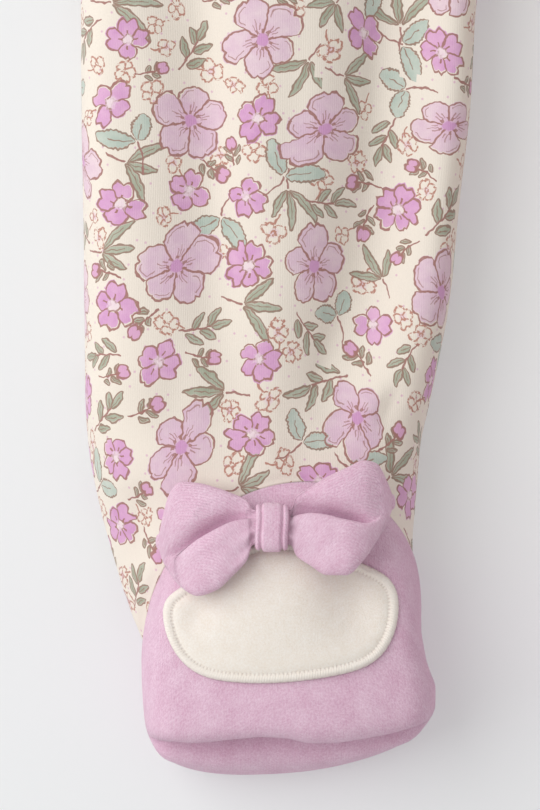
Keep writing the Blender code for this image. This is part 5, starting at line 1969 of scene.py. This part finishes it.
# %% Bow knot
KNOT_HALF_WIDTH = 4.3
KNOT_WALL = 1.5
KNOT_CLEARANCE = 0.4
KNOT_FOLD = 2.75
KNOT_FOLD_DEPTH = 0.75
KNOT_FOLD_WIDTH = 0.42
KNOT_EDGE = 0.35
KNOT_CROWN = 0.15
KNOT_STATIONS = 53
KNOT_RING_POINTS = 64
KNOT_SWAY = 0.18


def knot_section():
    """The knot's section: places across its width and the cloth's height there, and back along its base."""
    out = np.linspace(-KNOT_HALF_WIDTH, KNOT_HALF_WIDTH, KNOT_STATIONS)
    share = np.abs(out / KNOT_HALF_WIDTH)
    wall = KNOT_EDGE + (KNOT_WALL + KNOT_CROWN - KNOT_EDGE) * np.sqrt(1 - share**3.4)
    wall -= KNOT_FOLD_DEPTH * bell(np.abs(out) - KNOT_FOLD, KNOT_FOLD_WIDTH)
    base = [(along, 0.0) for along in out[::-6]]
    return [*zip(out, wall), *base, (out[0], wall[0])]


def bow_knot(side, suffix):
    """A strip folded in three along its length, so that two rolled edges flank its middle."""
    pinch = next(loop for loop in LOOPS if loop.along == 0)
    half_across, half_out = pinch.upper + KNOT_CLEARANCE, pinch.depth / 2 + KNOT_CLEARANCE
    rows = []
    for along, height in knot_section():
        across, deep = squared_ring(KNOT_RING_POINTS, half_across + height, half_out + height)
        rows.append(np.stack([np.full_like(across, along), across, deep + BOW_LEAN * across], axis=-1))
    grid = np.array(rows)
    grid[..., 0] += KNOT_SWAY * np.sin(grid[..., 1] * 0.5)
    measure = np.stack([grid[..., 0], arc_lengths(grid)], axis=-1)
    cloth(f"bow_knot_{suffix}", "cloth", set_on_foot(grid), measure, side, (PINK_BOW,), ring=True)


for side, suffix in SIDES:
    bow_knot(side, suffix)
print("triangles of one knot:", triangles("bow_knot_right"))

# %% [markdown]
# ## Placket and studs
#
# The front closes with a strip of the same printed cloth down its centre, topstitched along both edges, and
# a row of press studs. Each stud is turned from the same profile.

# %% Placket
PLACKET_HALF_WIDTH = 9.0
PLACKET_TOP_Y = 266.5
PLACKET_END_Y = -42.0
PLACKET_HEIGHT = 1.95
PLACKET_ROWS = 200
PLACKET_STEP = 1.2
PLACKET_READ_STEP = 1.37
PLACKET_SHIFT = (20.0, 45.0)
STITCHES_IN = 2.0


def placket_grid():
    """The strip over the closing, pulled down at its edges and its stitches. No column is at the centre."""
    shares = spaced(2 * PLACKET_HALF_WIDTH, PLACKET_STEP)
    shares = shares[np.abs(shares - 0.5) > 0.01]
    x = (shares * 2 - 1) * PLACKET_HALF_WIDTH
    x, y = np.meshgrid(x, np.linspace(PLACKET_TOP_Y, PLACKET_END_Y, PLACKET_ROWS))
    under = [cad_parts[name] for name in ("front_right", "front_left", "neckband")]
    grid = laid_softly(surface_of(under), x, y, np.zeros_like(x), 1, step=PLACKET_READ_STEP)
    edge = PLACKET_HALF_WIDTH - np.abs(x)
    pulled = 0.45 * bell(edge, 0.8) + 0.3 * bell(edge - STITCHES_IN, 0.6)
    grid[..., 2] += PLACKET_HEIGHT - pulled
    return grid


PLACKET_GRID = placket_grid()
cloth("placket", "strip", PLACKET_GRID, PLACKET_GRID[..., :2] + PLACKET_SHIFT, 1, **JERSEY)
print("triangles of the placket:", triangles("placket"))

# %% Studs
STUD_COUNT = 9
STUD_STEPS = 48
STUD_PROFILE = [
    (0.0, 0.0), (4.5, 0.0), (4.75, 0.15), (4.8, 0.5), (4.75, 1.0), (4.5, 1.45), (4.0, 1.68), (3.3, 1.68),
    (2.8, 1.5), (2.45, 1.2), (2.1, 1.08), (1.5, 1.05), (1.2, 1.1), (0.9, 1.2), (0.0, 1.24),
]


def turned_stud(name, centre):
    mesh = bpy.data.meshes.new(name)
    points = [(r * MM, 0.0, z * MM) for r, z in STUD_PROFILE]
    mesh.from_pydata(points, [(i, i + 1) for i in range(len(points) - 1)], [])
    item = bpy.data.objects.new(name, mesh)
    bpy.context.scene.collection.objects.link(item)
    bpy.ops.object.select_all(action="DESELECT")
    item.select_set(True)
    bpy.context.view_layer.objects.active = item
    turn = item.modifiers.new("turn", "SCREW")
    turn.steps = turn.render_steps = STUD_STEPS
    turn.use_merge_vertices = True
    turn.merge_threshold = MERGE_WITHIN
    bpy.ops.object.modifier_apply(modifier=turn.name)
    on_whole_mesh(bpy.ops.mesh.normals_make_consistent, inside=False)
    for vertex in item.data.vertices:
        vertex.co += Vector(centre)
    item.data.shade_smooth()
    item.data.materials.append(STUD)
    return item


for number in range(1, STUD_COUNT + 1):
    low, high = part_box(f"stud_{number}")
    place = ((low.x + high.x) / 2, (low.y + high.y) / 2, low.z)
    PIECES[f"stud_{number}"] = turned_stud(f"stud_{number}_cap", place)
print("studs:", STUD_COUNT)

# %% [markdown]
# ## Topstitching
#
# One stitch is a short, fat thread that dips into the cloth at both ends. It is a stretched ball with few
# faces, copied along each sewing line into one joined mesh.

# %% Rows of stitches
STITCH_LENGTH = 2.3
STITCH_PITCH = 3.1
STITCH_RADIUS = 0.24
STITCH_LIFT = 0.05
STITCH_SIDES = 6


def one_stitch():
    bpy.ops.object.select_all(action="DESELECT")
    bpy.ops.mesh.primitive_uv_sphere_add(segments=STITCH_SIDES, ring_count=STITCH_SIDES, radius=1.0)
    ball = bpy.context.object
    points = np.array([v.co for v in ball.data.vertices])
    faces = [tuple(polygon.vertices) for polygon in ball.data.polygons]
    bpy.data.objects.remove(ball, do_unlink=True)
    return points * (STITCH_RADIUS, STITCH_RADIUS, STITCH_LENGTH / 2), faces


def along_line(line, at):
    """Points of a line at these lengths along it."""
    arc = arc_lengths(line[None])[0]
    return np.stack([np.interp(at, arc, line[:, part]) for part in range(3)], axis=-1)


def stitch_row(name, line):
    """Stitches along a line of points, joined into one object."""
    points, faces = one_stitch()
    length = arc_lengths(line[None])[0, -1]
    count = int(length // STITCH_PITCH)
    at = (np.arange(count) + 0.5) * length / count
    along = unit(along_line(line, at + 0.5) - along_line(line, at - 0.5))
    aside = unit(np.cross(along, (0.0, 0.0, 1.0)))
    up = np.cross(aside, along)
    turned = points[:, 0, None, None] * aside + points[:, 1, None, None] * up
    turned = turned + points[:, 2, None, None] * along + along_line(line, at)
    placed = np.swapaxes(turned, 0, 1).reshape(-1, 3) * MM
    joined = [tuple(v + k * len(points) for v in face) for k in range(count) for face in faces]
    mesh = bpy.data.meshes.new(name)
    mesh.from_pydata(placed.tolist(), [], joined)
    mesh.shade_smooth()
    mesh.materials.append(CREAM_THREAD)
    item = bpy.data.objects.new(name, mesh)
    bpy.context.scene.collection.objects.link(item)
    return item


def placket_stitch_lines():
    lines = []
    for x in (-PLACKET_HALF_WIDTH + STITCHES_IN, PLACKET_HALF_WIDTH - STITCHES_IN):
        column = np.argmin(np.abs(PLACKET_GRID[0, :, 0] - x))
        lines.append(PLACKET_GRID[:, column] + (0, 0, STITCH_LIFT))
    return lines


STITCHES = {}
for word, line in zip(("right", "left"), placket_stitch_lines()):
    STITCHES[word] = stitch_row(f"placket_stitches_{word}", line)
print("rows of stitches:", len(STITCHES))

# %% [markdown]
# ## Handing the pieces to the frame
#
# Every piece rides on the one body, and all but the stitches stand in for the solid of their own cut piece.
# A table lists what size of cloth each flat piece was cut from, as far as it shows, and what it rests on.
# The loops of the bows are puffed up.

# %% Ride and replace
for node, piece in PIECES.items():
    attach(piece, "root")
    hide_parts(node)
for piece in STITCHES.values():
    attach(piece, "root")
print("pieces handed over:", len(PIECES) + len(STITCHES))

# %% Flat sizes of the cut cloth
Cut = namedtuple("Cut", "width length area rests_on")
CUTS = {
    "front": Cut(0.150, 0.560, 0.0640, ["back"]),
    "back": Cut(0.150, 0.560, 0.0620, ["table_top"]),
    "sleeve": Cut(0.180, 0.160, 0.0190, ["table_top"]),
    "cuff": Cut(0.125, 0.013, 0.0016, ["sleeve"]),
    "slipper": Cut(0.105, 0.078, 0.0070, ["sole"]),
    "sole": Cut(0.090, 0.100, 0.0072, ["table_top"]),
    "instep": Cut(0.062, 0.042, 0.0025, ["slipper"]),
    "bow_knot": Cut(0.0105, 0.033, 0.00033, ["bow_loops"]),
}


def declare(part, cut):
    for _, suffix in SIDES:
        held_by = [name if name == "table_top" else f"{name}_{suffix}" for name in cut.rests_on]


for part, cut in CUTS.items():
    declare(part, cut)
